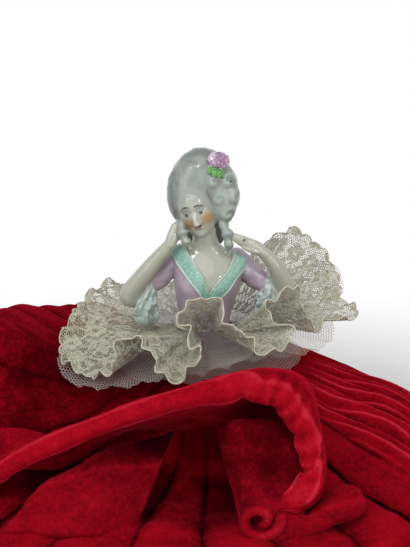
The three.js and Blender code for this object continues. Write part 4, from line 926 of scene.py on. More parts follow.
# Each ring of petals: how many, how far out, how wide, how much they lean out, and how far back they stand.
ROSE_RINGS = [(3, 1.2, 1.8, 0.2, -1.5), (4, 2.5, 2.5, 0.45, -0.7), (6, 3.4, 2.6, 0.8, 0.5)]
for ring, (count, spread, size, lean, depth) in enumerate(ROSE_RINGS):
    for k in range(count):
        turn = 2 * math.pi * (k + 0.4 * ring) / count + 0.3
        out = np.array([math.cos(turn), 0, math.sin(turn)])
        middle = ROSE + out * [spread, 0, spread * 0.66] + [0, depth, 0]
        rose_petals.append(petal(middle, out * lean + [0.1, -1, 0.2], out, size, size * 0.86, 0.6, 0.6))
rose = skins("modelled_rose", rose_petals, rose_glaze, "figure")
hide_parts("rose")
# Each leaf: where it lies from the rose's middle, and how many degrees it leans.
LEAF_SPOTS = [
    ((-3.4, -1.3, -4.0), -34), ((-1.6, -2.1, -5.0), -8), ((0.2, -2.3, -5.4), 8), ((1.7, -2.0, -5.0), 26),
]
leaf_skins = []
for spot, lean in LEAF_SPOTS:
    lean_way = np.array([math.sin(math.radians(lean)), -0.25, -math.cos(math.radians(lean))])
    leaf_skins.append(petal(ROSE + spot, (0.1, -1, 0.35), lean_way, 1.15, 2.3, 0.5, 0.35))
leaves = skins("modelled_leaves", leaf_skins, leaf_glaze, "figure")
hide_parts("rose_leaves")

# The sewing: a few turns of pale cotton thread through each of the flange's four holes and round its edge,
# which hold her on the tape.
thread_finish = Finish("cotton_thread", Roughness=0.75, Sheen_Weight=0.3)
thread_fluff = thread_finish.noise(thread_finish.place(), 2500.0, 2.0)
thread_finish.use("Base Color", thread_finish.mix(thread_fluff, "D8D0BC", "A89F8A"))
LOOP_HALF_WIDTH, LOOP_HALF_HEIGHT, LOOP_DROP, LOOP_SETBACK = 2.4, 3.3, 0.7, 0.35
LOOP_THREAD, LOOP_SPACING, LOOP_TURNS, LOOP_RINGS = 0.15, 0.2, 3, 60


def tube(line, radius, sides=8):
    """Rings of one radius square to a closed line of points."""
    tangent = np.roll(line, -1, 0) - np.roll(line, 1, 0)
    tangent /= np.linalg.norm(tangent, axis=1, keepdims=True)
    side = np.cross(tangent, [0.31, 0.23, 0.92])
    side /= np.linalg.norm(side, axis=1, keepdims=True)
    other = np.cross(tangent, side)
    bearing = full_turn(sides)[..., None]
    return line[None] + radius * (np.cos(bearing) * side[None] + np.sin(bearing) * other[None])


spin = full_turn(LOOP_RINGS * LOOP_TURNS) * LOOP_TURNS
drift = LOOP_SPACING * np.sin(spin / LOOP_TURNS)
loop_off = SEW_HOLE_INSET - LOOP_SETBACK + LOOP_HALF_WIDTH
loop_height = WAIST + FLANGE_THICKNESS / 2 - LOOP_DROP
for hole, way in SEW_WAYS.items():
    loop_middle = np.array([*(np.array(way) * (waist_half + loop_off)), loop_height])
    loop_line = loop_middle + np.array([*way, 0]) * LOOP_HALF_WIDTH * np.cos(spin)
    loop_line = loop_line + np.array([0, 0, LOOP_HALF_HEIGHT]) * np.sin(spin)
    loop_line = loop_line + np.array([-way[1], way[0], 0]) * drift
    stitch = surface("sewing_thread_" + hole, tube(loop_line, LOOP_THREAD), thread_finish, "thread_loops",
                     around=True, along=True)
    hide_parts("stitch_" + hole)

# The skirt: four panels of red velvet, each two layers with wadding quilted between them, seamed side by side
# and pulled together at the waist. For each bearing: radius, and the fall from waist seam (0) to hem (1).
SKIRT_INNER, SEAM_HEIGHT, HEM_TOP = 12.5, WAIST - 4, 8
SKIRT = {
    0: [[SKIRT_INNER, 0], [45, 0.04], [70, 0.24], [100, 0.5], [125, 0.8], [140, 1]],
    45: [[SKIRT_INNER, 0], [50, 0.08], [75, 0.36], [100, 0.72], [120, 1]],
    90: [[SKIRT_INNER, 0], [50, 0.12], [75, 0.48], [100, 0.92], [108, 1]],
    135: [[SKIRT_INNER, 0], [50, 0.04], [80, -0.08], [100, -0.08], [118, 0.4], [128, 1]],
    180: [[SKIRT_INNER, 0], [50, 0.08], [68, 0], [86, -0.24], [106, -0.36], [124, 0.2], [138, 1]],
    225: [[SKIRT_INNER, 0.02], [40, 0.24], [60, 0.48], [80, 0.64], [110, 0.88], [135, 1]],
    270: [[SKIRT_INNER, 0.02], [30, 0.28], [45, 0.72], [60, 0.9], [100, 0.96], [130, 1]],
    315: [[SKIRT_INNER, 0.02], [40, 0.24], [60, 0.48], [90, 0.76], [130, 1]],
}
SPOKES = [np.array(points) for points in SKIRT.values()]
SPOKE_STEP = 360 / len(SPOKES)
QUILT_PITCH, QUILT_DEPTH, QUILT_WIDTH = 15, 0.9, 0.13
STITCH_LINE, CORNER_SPREAD = 0.5, 9.0
CRUMPLE_WAVES = 8
GATHERS, GATHER_DEPTH, GATHER_SWAY, GATHER_BENDS = 40, 1.5, 1.2, 7
VELVET = 7.0


def skirt(bearing, share):
    """Radius and height of the skirt's upper side, without its stitching, by bearing and share of the way
    out."""
    turn = np.degrees(bearing) % 360
    first = np.floor(turn / SPOKE_STEP).astype(int) % len(SPOKES)
    t = step(0, 1, turn / SPOKE_STEP - np.floor(turn / SPOKE_STEP))
    reach, fall = np.zeros(np.broadcast(turn, share).shape), np.zeros(np.broadcast(turn, share).shape)
    for k, points in enumerate(SPOKES):
        weight = np.where(first == k, 1 - t, 0) + np.where((first + 1) % len(SPOKES) == k, t, 0)
        end = points[-1, 0]
        radius = SKIRT_INNER + (end - SKIRT_INNER) * share
        reach = reach + weight * end
        fall = fall + weight * through(points[:, 0], points[:, 1], radius)
    return SKIRT_INNER + (reach - SKIRT_INNER) * share, SEAM_HEIGHT + (HEM_TOP - SEAM_HEIGHT) * fall


def on_her_left(bearing):
    """1 on her left, where the cloth is gathered instead of quilted."""
    turn = np.degrees(bearing) % 360
    return step(325, 335, turn) + 1 - step(12, 30, turn)


def skirt_top(x, y):
    """Height of the skirt over a point of the table."""
    bearing = np.arctan2(y, x)
    reach, _ = skirt(bearing, np.ones_like(bearing))
    share = np.clip((np.hypot(x, y) - SKIRT_INNER) / (reach - SKIRT_INNER), 0, 1)
    return skirt(bearing, share)[1]


def crumple(x, y, size, seed):
    """Shallow irregular dents: waves in several directions, of sizes round the one given, added up."""
    draw = np.random.default_rng(seed)
    total = 0
    for _ in range(CRUMPLE_WAVES):
        turn, phase = draw.uniform(0, 2 * math.pi, 2).tolist()
        length = size * draw.uniform(0.6, 1.7)
        bend = 0.8 * np.sin((x * math.sin(turn) - y * math.cos(turn)) / (1.7 * length) + 2 * phase)
        along = x * math.cos(turn) + y * math.sin(turn)
        total = total + np.sin(2 * math.pi * along / length + phase + bend)
    return total / CRUMPLE_WAVES


def facing(grid):
    """Unit directions square to a grid of points."""
    across = np.cross(np.gradient(grid, axis=0), np.gradient(grid, axis=1))
    return across / np.maximum(np.linalg.norm(across, axis=-1, keepdims=True), 1e-9)


def velvet_finish(name, deep, lit, seed):
    """Silk velvet: a dark ground, and a pile that lights up where it is seen edge on, and in random patches
    and streaks. The mesh's painted light and shade lightens and darkens it further: near black where it is
    lowest, in the stitching and in painted shade, and palest where it is highest, a painted highlight on the
    crests."""
    finish = Finish(name, Roughness=0.9, Sheen_Weight=0.6, Sheen_Roughness=0.3, Sheen_Tint=(1, 0.03, 0.07, 1),
                    Specular_IOR_Level=0.0)
    place = finish.place()
    patches = finish.mask(finish.noise(place, 95.0 + seed, 6.0, 0.68), 0.36, 0.66)
    streaks = finish.mask(finish.noise(place, 520.0, 4.0, 0.7), 0.38, 0.64)
    pile_and_shading = finish.noise(place, 2600.0, 2.0)
    painted_shading = finish.light_and_shade()
    lightness = finish.mask(painted_shading + patches * 0.28 + streaks * 0.27, -0.05, 1.34)
    # The painted light and shade sets how light the pile is: near black where lowest, a pale painted
    # highlight where highest.
    finish.use("Base Color", finish.layered(
        deep,
        (lightness, lit),
        (finish.mask(pile_and_shading, 0.58, 0.78) * 0.25, "B81028"),
        (finish.mask(painted_shading, 0.05, -0.5), "1C0004"),
        (finish.mask(painted_shading + streaks * 0.3, 0.95, 1.7) * 0.6, "D03448"),
    ))
    finish.use("Roughness", pile_and_shading * 0.2 + 0.7)
    finish.bump(pile_and_shading + streaks * 0.6, 0.5, 0.0004)
    return finish


velvet = velvet_finish("quilted_velvet", "3E0007", "A80C1E", 0)


def stuffed(name, upper, lower, finish, light_and_shade):
    """A stuffed form of velvet between its two sides, which meet along all four edges."""
    loop = np.concatenate([upper, lower[:, ::-1]], 1)
    pile_and_shading = np.concatenate([light_and_shade, light_and_shade[:, ::-1]], 1)
    piece = surface(name, loop, finish, "skirt", along=True, poles=True, light_and_shade=pile_and_shading)
    return piece


def padded(name, middle, half, finish, light_and_shade):
    """A stuffed form over a grid of points: both sides swell by `half`, which is nothing along all four
    edges."""
    out = facing(middle) * half[..., None]
    return stuffed(name, middle + out, middle - out, finish, light_and_shade)


def edge_round(distance, radius):
    """How full a stuffed edge is at a distance from its seam: a quarter circle, then full."""
    inward = np.clip(distance / radius, 0, 1)
    return np.sqrt(1 - (1 - inward) ** 2)


def crowded(count):
    """Places from 0 to 1 that crowd together towards both ends."""
    return (1 - np.cos(math.pi * np.linspace(0, 1, count))) / 2


# The panels: the bearing at which each starts. Their stuffing is thinner along the seams and at the hem.
PANELS = {"left": 135, "front": 225, "right": 315, "back": 45}
PANEL_SPAN, PANEL_GRID = 90, (200, 170)
SEAM_ROUND, HEM_ROUND, UNDERSIDE = 3.2, 3.6, 0.15
for side_name, start in PANELS.items():
    u = np.linspace(0, 1, PANEL_GRID[0])[:, None]
    v = crowded(PANEL_GRID[1])[None]
    bearing = np.radians(start + PANEL_SPAN * u) + 0 * v
    share = v + 0 * u
    radius, height = skirt(bearing, share)
    # The skirt's corner, in front and to her left, is pulled out furthest.
    spread = np.exp(-(((np.degrees(bearing) - 320) / 16) ** 2)) * step(0.7, 1, share)
    radius = radius + CORNER_SPREAD * spread
    x, y = radius * np.cos(bearing), radius * np.sin(bearing)
    on_gathers = on_her_left(bearing)
    out = step(0.22, 0.45, share)
    folds = on_gathers * step(0.2, 0.4, share) * (1 - step(0.85, 1, share))
    # Gathers on her left, each broken up into finer ridges.
    gather = GATHERS * bearing + GATHER_SWAY * np.sin(GATHER_BENDS * share)
    ridge = 2 * np.abs(np.cos(gather / 2)) ** 0.8 - 1
    fine_ridge = np.cos(2.6 * gather + 2.2 * np.sin(8 * share + 3 * bearing) + 1.4 * np.sin(19 * share))
    height = height + folds * (GATHER_DEPTH * ridge + 0.6 * fine_ridge)
    # Quilting elsewhere: puffed channels between sewn lines, flatter where the hem lies on them.
    turn = np.degrees(bearing) / QUILT_PITCH + 0.06 * np.sin(7 * share + 2 * bearing)
    from_channel = 0.5 - np.abs(turn % 1 - 0.5)
    puff = 1 - np.exp(-((from_channel / QUILT_WIDTH) ** 2))
    quilted = (1 - on_gathers) * (1 - 0.8 * np.exp(-(((np.degrees(bearing) - 188) / 30) ** 2)))
    height = height + (0.7 * puff - QUILT_DEPTH * (1 - puff)) * out * quilted
    dents = crumple(x, y, 34, 3)
    height = height + (0.8 + 1.1 * out) * dents + 0.6 * crumple(x, y, 13, 5)
    # Painted light and shade on the pile: lighter on puffs, raised dents and crests, painted shade on the
    # left panel, and dark in the stitching and in the seam of the right panel.
    stitched = np.exp(-((from_channel * np.radians(QUILT_PITCH) * radius / STITCH_LINE) ** 2)) * out * quilted
    light_and_shade = 0.42 + 0.35 * dents + 0.3 * (puff - 0.5) * quilted - 0.8 * stitched
    light_and_shade = light_and_shade + folds * (0.3 * ridge + 0.15 * fine_ridge + 0.9 * fine_ridge.clip(0, 1) ** 6)
    light_and_shade = light_and_shade - 0.35 * np.exp(-(((np.degrees(bearing) - 195) / 28) ** 2))
    # Painted shade under the turned hem.
    hem_shadow = step(-88, -70, x) * step(38, 22, x) * step(-100, -88, y) * step(-48, -60, y)
    light_and_shade = light_and_shade - 0.55 * hem_shadow
    light_and_shade = light_and_shade - 1.2 * np.exp(-((u * radius / STITCH_LINE) ** 2)) * (side_name == "right")
    # Both sides of the stuffed cloth. The lower one never goes through the table.
    from_seams = radius * math.radians(PANEL_SPAN) * np.minimum(u, 1 - u)
    from_ends = radius[:, -1:] * np.minimum(v, 1 - v)
    full = edge_round(from_seams, SEAM_ROUND) * edge_round(from_ends, HEM_ROUND)
    upper = np.stack([x, y, height], -1)
    inside = facing(upper)
    inside *= np.sign(inside[..., 2:])
    under = np.maximum(upper - inside * VELVET * 0.96, [-999, -999, UNDERSIDE])
    middle = (upper + under) / 2
    lifted = middle + (upper - middle) * full[..., None]
    lowered = middle + (under - middle) * full[..., None]
    panel = stuffed("velvet_panel_" + side_name, lifted, lowered, velvet, light_and_shade)
    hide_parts("skirt_panel_" + side_name)

# The hem, turned up in front: a fat wadded roll over a thinner body that lies back on the skirt. A point
# without a height lies on the skirt.
HEM_THICKNESS, HEM_BODY, HEM_GRID = 12.0, 0.72, (420, 120)
TURNED_HEM = [
    [[-98, -82, 22], [-101, -72, 22], [-103, -60], [-104, -50]],
    [[-80, -84, 36], [-82, -73, 34], [-84, -62], [-84, -50]],
    [[-60, -83, 46], [-61, -72, 42], [-62, -62], [-62, -50]],
    [[-38, -81, 54], [-39, -70, 51], [-40, -58, 42], [-38, -46]],
    [[-15, -80, 62], [-16, -69, 58], [-15, -56, 49], [-14, -42]],
    [[4, -79, 66.5], [6, -67, 62.5], [7, -54, 53], [7, -40]],
    [[20, -78, 66], [24, -63, 66.5], [26, -50, 57], [26, -38]],
    [[34, -80, 57.5], [41, -62, 63], [43, -48, 55], [43, -36]],
    [[43, -86, 44], [46, -74, 47], [47, -62, 42], [47, -50]],
    [[43, -95, 31], [47, -88, 33], [48.5, -80, 30], [49, -72]],
    [[30, -101, 20], [38, -97, 20], [44, -92, 18], [48, -86]],
]


def draped(rows, thickness, steps):
    """A smooth sheet through rows of points, with crowded lines along its edges."""
    grid = np.array([[p if len(p) == 3 else [*p, skirt_top(*np.array(p, float)) + thickness / 2] for p in row]
                     for row in rows], float)
    v = crowded(steps[1])
    columns = np.arange(float(grid.shape[1]))
    lines = np.stack([through(columns, row, v * (len(columns) - 1)) for row in grid])
    return smooth_line(lines, steps[0]), v


def run(grid, axis):
    """Distance from the nearer end of each line of a grid."""
    steps = np.linalg.norm(np.diff(grid, axis=axis), axis=-1)
    walked = np.concatenate([np.zeros_like(np.take(steps, [0], axis)), np.cumsum(steps, axis)], axis)
    return np.minimum(walked, np.take(walked, [-1], axis) - walked)


def rounded(grid, thickness):
    """How full a stuffed form over a grid is: nothing along its four edges, which it leaves in a quarter
    circle."""
    return edge_round(run(grid, 1), thickness / 2) * edge_round(run(grid, 0), thickness / 2)


hem_middle, v = draped(TURNED_HEM, HEM_THICKNESS, HEM_GRID)
u = np.linspace(0, 1, len(hem_middle))[:, None]
slim = 1 - 0.24 * step(0.55, 0.3, u)
body = (1 - (1 - HEM_BODY) * step(0.15, 0.5, v))[None]
x, y, z = np.moveaxis(hem_middle, -1, 0)
dents = 1.1 * crumple(x + z, y - z, 26, 11) + 0.7 * crumple(x + z, y - z, 9, 12)
# Puckers where the roll is drawn in, and the slow sway of its edge.
puckered = step(0.34, 0.1, v)[None] * step(0.45, 0.7, u)
pulls = 0.9 * np.cos(2 * math.pi * 21 * u + 3 * np.sin(9 * u) + 2 * np.sin(37 * u)) * puckered
half = slim * body * rounded(hem_middle, HEM_THICKNESS) * (HEM_THICKNESS / 2 + dents + 0.45 * pulls)
sway = np.zeros_like(hem_middle)
sway[..., 2] = 1.4 * np.sin(2 * math.pi * 9 * u + 1.2) * step(0.3, 0.0, v)[None] * step(0.42, 0.6, u)
# Painted highlights along two lines of the roll; the roll is also painted lighter on its front and on the
# puckers' ridges.
roll_highlights = 0.7 * np.exp(-(((v - 0.1) / 0.035) ** 2)) + 0.5 * np.exp(-(((v - 0.3) / 0.04) ** 2))
hem_light_and_shade = 0.42 + 0.32 * dents + 0.25 * pulls + (0.3 * step(0.25, 0.0, v) + roll_highlights)[None]
hem_velvet = velvet_finish("hem_velvet", "4A0209", "B00E22", 3)
hem = padded("turned_hem_roll", hem_middle + sway, half, hem_velvet, hem_light_and_shade)
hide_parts("turned_back_hem")

# Three smaller folds of the same velvet: the corner rolled in under the hem, the tongue that lies on the
# skirt in front of it, and the fold that shows under the turned hem.
FOLD_THICKNESS, FOLD_GRID = 8.0, (150, 100)
FOLDS = {
    "rolled_corner": [
        [[5, -60, 46], [20, -67, 49], [41, -66, 46]], [[9, -72, 34], [22, -83, 36], [42, -82, 32]],
        [[14, -85, 19], [26, -97, 19], [42, -92, 18]], [[18, -94, 8], [30, -106, 8], [48, -101, 11]],
    ],
    "hem_tongue": [
        [[34, -106, 10], [43, -97, 13], [52, -88, 15]], [[46, -105, 14], [54, -95, 18], [58, -82, 20]],
        [[57, -102, 17], [62, -92, 20], [62, -80, 22]], [[66, -98, 18], [69, -91, 19], [67, -82, 19]],
    ],
    "inner_fold": [
        [[-88, -98, 8], [-74, -84, 18], [-62, -72, 22]], [[-66, -103, 9], [-58, -88, 27], [-46, -74, 33]],
        [[-47, -103, 9], [-41, -89, 33], [-33, -75, 40]], [[-31, -90, 7], [-20, -75, 31], [-13, -62, 43]],
    ],
}
fold_velvet = velvet_finish("fold_velvet", "4C020A", "A80E20", 7)
# How each lies in the hem's shadow, painted dark: from and to which height, and how dark. Then the painted
# highlight along its crease: where, and how wide.
IN_SHADOW = {"rolled_corner": (14, 34, 0.58), "hem_tongue": (14, 34, 0.2), "inner_fold": (24, 42, 0.95)}
CREASE_HIGHLIGHTS = {"rolled_corner": (0.35, 0.12), "hem_tongue": (0.35, 0.12), "inner_fold": (0.52, 0.04)}
for fold_name, rows in FOLDS.items():
    fold_middle, v = draped(rows, FOLD_THICKNESS, FOLD_GRID)
    x, y, z = np.moveaxis(fold_middle, -1, 0)
    dents = 1.2 * crumple(x, y + z, 22, 21) + 0.7 * crumple(x + z, y, 9, 22)
    shadow_from, shadow_to, darkness = IN_SHADOW[fold_name]
    crease, crease_width = CREASE_HIGHLIGHTS[fold_name]
    light_and_shade = 0.5 + 0.12 * dents - darkness * step(shadow_from, shadow_to, z)
    light_and_shade = light_and_shade + 0.3 * np.exp(-(((v - crease) / crease_width) ** 2))
    half = rounded(fold_middle, FOLD_THICKNESS) * (FOLD_THICKNESS / 2 + dents)
    fold = padded(fold_name + "_velvet", fold_middle, half, fold_velvet, light_and_shade)
    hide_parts(fold_name)

# The end of the rolled corner: the hem's edge, rolled up on itself like a scroll. It lies on the skirt's rim
# beside the rolled corner, and its stuffing is thin.
SCROLL, SCROLL_FRONT, SCROLL_BACK = (22.8, 18.6), -109.0, -94.0
SCROLL_RADII, SCROLL_TURNS, SCROLL_THICKNESS = (9.6, 2.2), 1.3, 4.6
SCROLL_START, SCROLL_FLATNESS, SCROLL_DRIFT, SCROLL_GRID = 0.4, 0.9, 2.2, (160, 50)
t = np.linspace(0, 1, SCROLL_GRID[0])[:, None]
v = crowded(SCROLL_GRID[1])[None]
scroll_turn = SCROLL_START - 2 * math.pi * SCROLL_TURNS * t
scroll_radius = SCROLL_RADII[0] + (SCROLL_RADII[1] - SCROLL_RADII[0]) * t
scroll_middle = np.stack(np.broadcast_arrays(
    SCROLL[0] + scroll_radius * np.cos(scroll_turn),
    SCROLL_FRONT + (SCROLL_BACK - SCROLL_FRONT) * v + SCROLL_DRIFT * t,
    SCROLL[1] + SCROLL_FLATNESS * scroll_radius * np.sin(scroll_turn)), -1)
# Painted light and shade along the scroll, and a painted highlight on its front rim.
scroll_light_and_shade = 0.2 + 0.25 * np.sin(11 * t) + 0.6 * np.exp(-((v / 0.12) ** 2))
scroll_half = rounded(scroll_middle, SCROLL_THICKNESS) * SCROLL_THICKNESS / 2
padded("scrolled_corner_end", scroll_middle, scroll_half, fold_velvet, scroll_light_and_shade)

# Inside the skirt and the torso: the tape that the figure is sewn to, the wad that fills her, and the loose
# cotton wadding under the velvet.
wadding_finish = Finish("cotton_wadding", Roughness=0.95, Sheen_Weight=0.2)
fluff = wadding_finish.noise(wadding_finish.place(), 300.0, 6.0, 0.7)
wadding_finish.use("Base Color", wadding_finish.mix(fluff, "C9C2B2", "EDE9DF"))
wadding_finish.bump(fluff, 0.8, 0.0012)
PLAY, TAPE_EASE, TAPE_WIDTH, TAPE_HEIGHT = 1.2, 1.0, 11.5, 2.4
WEAVE_ROUND, WEAVE_UP, NOTCH_DEPTH, RING_SIDES = 260.0, 9000.0, 8.4, 240
tape_inner = SKIRT_INNER - waist_half[0] - TAPE_EASE
tape_finish = Finish("cotton_tape", Roughness=0.9, Sheen_Weight=0.2)
tape_x, tape_y, tape_z = tape_finish.parts(tape_finish.place())
tape_round = tape_finish.math("ARCTAN2", tape_y, tape_x)
tape_weave = tape_finish.math("SINE", tape_round * WEAVE_ROUND) * tape_finish.math("SINE", tape_z * WEAVE_UP)
tape_finish.use("Base Color", tape_finish.mix(tape_weave * 0.5 + 0.5, "B5AB98", "D3C9B6"))
tape_finish.bump(tape_weave, 0.4, 0.0002)
ring_turn = full_turn(RING_SIDES)
# A section of the tape: how far out, from its inner edge to its outer one, and how far down.
TAPE_SECTION = np.array([
    [0, 0.1], [0.02, 0], [0.5, 0.03], [0.98, 0], [1, 0.1], [1, 0.9], [0.98, 1], [0.5, 1], [0.02, 1], [0, 0.9],
])
out, down = TAPE_SECTION.T
# It is notched on its inner side where the thread loops pass.
in_notch = 0
for way in SEW_WAYS.values():
    from_stitch = (ring_turn - math.atan2(way[1], way[0]) + math.pi) % (2 * math.pi) - math.pi
    in_notch = in_notch + step(0.2, 0.14, np.abs(from_stitch))
notched_inner = tape_inner + in_notch * NOTCH_DEPTH
tape_off = notched_inner + (tape_inner + TAPE_WIDTH - notched_inner) * out
tape_ring = torso(ring_turn, AT_FOOT, tape_off) * [1, 1, 0]
tape_ring[..., 2] = WAIST - PLAY - TAPE_HEIGHT * down
tape = surface("sewn_waist_tape", tape_ring, tape_finish, "skirt", around=True, along=True)
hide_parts("waist_tape")

# The wad: a soft plug under the tape and up into the torso, closed in a point below.
PAD_HALF, PAD_HEIGHT, PAD_FOOT, PAD_EASE = (8.2, 5.6), 25, 14, 0.4
PAD_SIDES, PAD_ROWS = 90, 30
pad_turn = full_turn(PAD_SIDES)
foot = torso(pad_turn, AT_FOOT, tape_inner - PAD_EASE) * [1, 1, 0]
crown = np.stack([PAD_HALF[0] * np.cos(pad_turn), PAD_HALF[1] * np.sin(pad_turn), 0 * pad_turn], -1)
lift = np.linspace(0, 1, PAD_ROWS)[None, :, None]
lower = foot * (1 - 0.02 * np.sin(5 * lift)) + [0, 0, WAIST - PAD_FOOT] + lift * [0, 0, PAD_FOOT - PLAY]
fall_in = np.sqrt(np.clip(1 - lift ** 2.6, 0, 1))
upper = crown * fall_in + [0, 0, WAIST - PLAY + 0.3] + lift * [0, 0, PAD_HEIGHT]
pad_end = pole((0, 0, WAIST - PAD_FOOT), PAD_SIDES)
pad = surface("stuffing_wad", np.concatenate([pad_end, lower, upper], 1), wadding_finish, "skirt",
              around=True, poles=True)
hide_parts("stuffing_pad")

# The wadding under the velvet: loose cotton that fills the skirt down to the table, and leaves room for the
# wad in its middle.
WADDING_REACH, WADDING_FOOT, WADDING_ROWS = (0.01, 0.9), 0.05, 70
CORE_RADIUS, CORE_TOP = SKIRT_INNER + 2 * TAPE_EASE, WAIST - PAD_FOOT - 0.5
wad_share = np.linspace(*WADDING_REACH, WADDING_ROWS)[None]
radius, height = skirt(ring_turn, wad_share)
wad_drop = VELVET * 1.5 + 2 * VELVET * step(0.25, 0.0, wad_share) * 0.4
x, y = radius * np.cos(ring_turn), radius * np.sin(ring_turn)
top = np.maximum(height - wad_drop - GATHER_DEPTH + 0.8 * crumple(x, y, 18, 31), 0.9)
upper = np.stack([x, y, top], -1)
lower = np.stack([x, y, np.minimum(WADDING_FOOT, top)], -1)[:, ::-1]
core = np.stack([CORE_RADIUS * np.cos(ring_turn), CORE_RADIUS * np.sin(ring_turn), 0 * ring_turn], -1)
core_top = core * 0.97 + [0, 0, CORE_TOP]
wadding_top, wadding_foot = [pole((0, 0, z), RING_SIDES) for z in (CORE_TOP, WADDING_FOOT)]
wadding_points = np.concatenate([wadding_top, core_top, upper, lower, wadding_foot], 1)
wadding = surface("loose_wadding", wadding_points, wadding_finish, "skirt", around=True,
                  poles=True)
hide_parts("inner_wadding")

# Net and lace, gathered on one cord round her waist over the flange: two ruffles of plain silk net, greyed
# pink, and over them a flounce of old embroidered lace. Edges run from her right back round the front.
FLOUNCE_COLLAR, NET_CLEARANCE, CLOTH_STEP = 1.2, 3.9, 1.3
NET_HEIGHT = FLANGE_THICKNESS + NET_CLEARANCE
FLOUNCE_CURVE = 1.35
NET_CELL = 1.4
# The free edges of the lace and of the over net: how far each point lies across, back and up from the waist.
LACE_EDGE = [
    [-59, 18, 18], [-63, 8, 12], [-67, -4, 7], [-67, -14, 1], [-63, -24, -1], [-54, -34, -1], [-44, -42, 1],
    [-38, -47, 13], [-32, -50, 19], [-26, -54, 18], [-22, -59, 9], [-15, -61, 6], [-7, -60, 8], [-1, -58, 16],
    [-8, -51, 20], [-12, -48, 27], [-7, -46, 35], [1, -45, 36], [8, -48, 28], [12, -53, 24], [20, -55, 19],
    [31, -52, 14], [37, -44, 22], [30, -36, 24], [28, -32, 31], [34, -28, 34], [42, -23, 32], [45, -18, 22],
    [52, -10, 13], [64, -4, 14], [72, 0, 17], [65, 9, 22], [64, 17, 29], [58, 25, 39], [49, 32, 46],
    [40, 38, 49], [32, 43, 42], [18, 46, 30], [4, 48, 23], [-11, 48, 21], [-26, 45, 21], [-42, 39, 19],
    [-52, 29, 21],
]
NET_EDGE = [
    [-62, 16, 9], [-67, 0, 3], [-70, -12, -3], [-65, -26, -8], [-53, -38, -8], [-36, -48, -4], [-21, -56, 2],
    [-13, -59, 4], [-2, -57, 5], [13, -52, 8], [25, -47, 9], [39, -40, 8], [53, -24, 6], [61, -5, 6],
    [62, 8, 11], [65, 18, 17], [68, 21, 24], [64, 29, 33], [52, 38, 31], [28, 46, 17], [0, 48, 14],
    [-28, 44, 16], [-53, 34, 12],
]
UNDER_NET_RADIUS, UNDER_NET_HANG, UNDER_NET_RIPPLES, UNDER_NET_RIPPLE = (46, 35), 9, 9, 1.4
under_turn = np.linspace(math.pi, 3 * math.pi, 60, endpoint=False)
under_x, under_y = UNDER_NET_RADIUS[0] * np.cos(under_turn), UNDER_NET_RADIUS[1] * np.sin(under_turn)
under_z = np.maximum(skirt_top(under_x, under_y) - WAIST + 2.4, -UNDER_NET_HANG)
under_z = under_z + UNDER_NET_RIPPLE * (1 + np.sin(UNDER_NET_RIPPLES * under_turn))
UNDER_EDGE = np.stack([under_x, under_y, under_z], -1)


def gathered(edge, height, waves, around, deep, bulge=0.8, scallop=0.0, lobe=7.0):
    """A strip gathered at the waist and spread to a free edge: straight lines from waist to edge, bent up
    by a power of the way out, and moved square to themselves by gathers and waves. Each wave: how many
    round the edge, how high, its phase, and the power of the way out with which it grows. Gives the grid
    and the flat place of each point, in millimetres."""
    line = smooth_line(edge, around, closed=True)
    walked = np.concatenate([[0], np.cumsum(np.linalg.norm(np.roll(line, -1, 0) - line, axis=1))])
    spread = max(1, around // 11)
    kernel = np.hanning(spread * 2 + 1)
    wrapped = np.concatenate([line[-spread:], line, line[:spread]])
    near = np.stack([np.convolve(wrapped[:, k], kernel / kernel.sum(), "valid") for k in (0, 1)], -1)
    bearing = np.arctan2(near[:, 1], near[:, 0])
    start = torso(bearing[:, None], np.full((1, 1), float(height)), FLOUNCE_COLLAR)[:, 0]
    start[:, 2] = WAIST + height
    end = line + [0, 0, WAIST]
    s = walked[:-1, None]
    lobes = scallop * np.abs(np.sin(math.pi * s / lobe)) ** 0.7
    depth = np.linalg.norm(end - start, axis=1)[:, None]
    v = np.linspace(0, 1, deep)[None] * (1 + lobes / depth)
    grid = start[:, None] + (end - start)[:, None] * v[..., None]
    grid[..., 2] = start[:, None, 2] + (end - start)[:, None, 2] * v ** FLOUNCE_CURVE
    grid[..., 2] += bulge * np.sin(math.pi * np.clip(v, 0, 1))
    wrap = np.concatenate([grid[-1:], grid, grid[:1]])
    square = facing(wrap)[1:-1]
    length = walked[-1]
    shift = 0
    for count, high, phase, power in waves:
        wander = 1.3 * np.sin(2 * math.pi * 3 * s / length + phase)
        wander = wander + 0.7 * np.sin(2 * math.pi * 7 * s / length)
        shift = shift + high * np.sin(2 * math.pi * count * s / length + phase + wander) * v ** power
    pleats = 0.45 * np.sin(2 * math.pi * 95 * s / length + 2 * np.sin(31 * s / length)) * np.exp(-3.5 * v)
    grid = grid + square * (shift + pleats)[..., None]
    down = v * depth
    flat = np.stack(np.broadcast_arrays(walked[:, None], np.concatenate([down, down[:1]])), -1)
    return grid, flat, length


def hexagons(finish, along, down, cell):
    """1 on the threads of a six-sided net: how near a point is to the edge of its cell."""
    tall = cell * math.sqrt(3)
    halves = []
    for shift in (0.0, 0.5):
        a = finish.math("FLOORED_MODULO", along / cell + shift, 1.0) - 0.5
        b = finish.math("FLOORED_MODULO", down / tall + shift, 1.0) - 0.5
        halves.append((abs(a), abs(b) * math.sqrt(3)))
    far = [a * a + b * b for a, b in halves]
    nearer = finish.math("LESS_THAN", far[0], far[1])
    a = nearer * halves[0][0] + (1 - nearer) * halves[1][0]
    b = nearer * halves[0][1] + (1 - nearer) * halves[1][1]
    return finish.most(a, a * 0.5 + b * (math.sqrt(3) / 2)) * 2


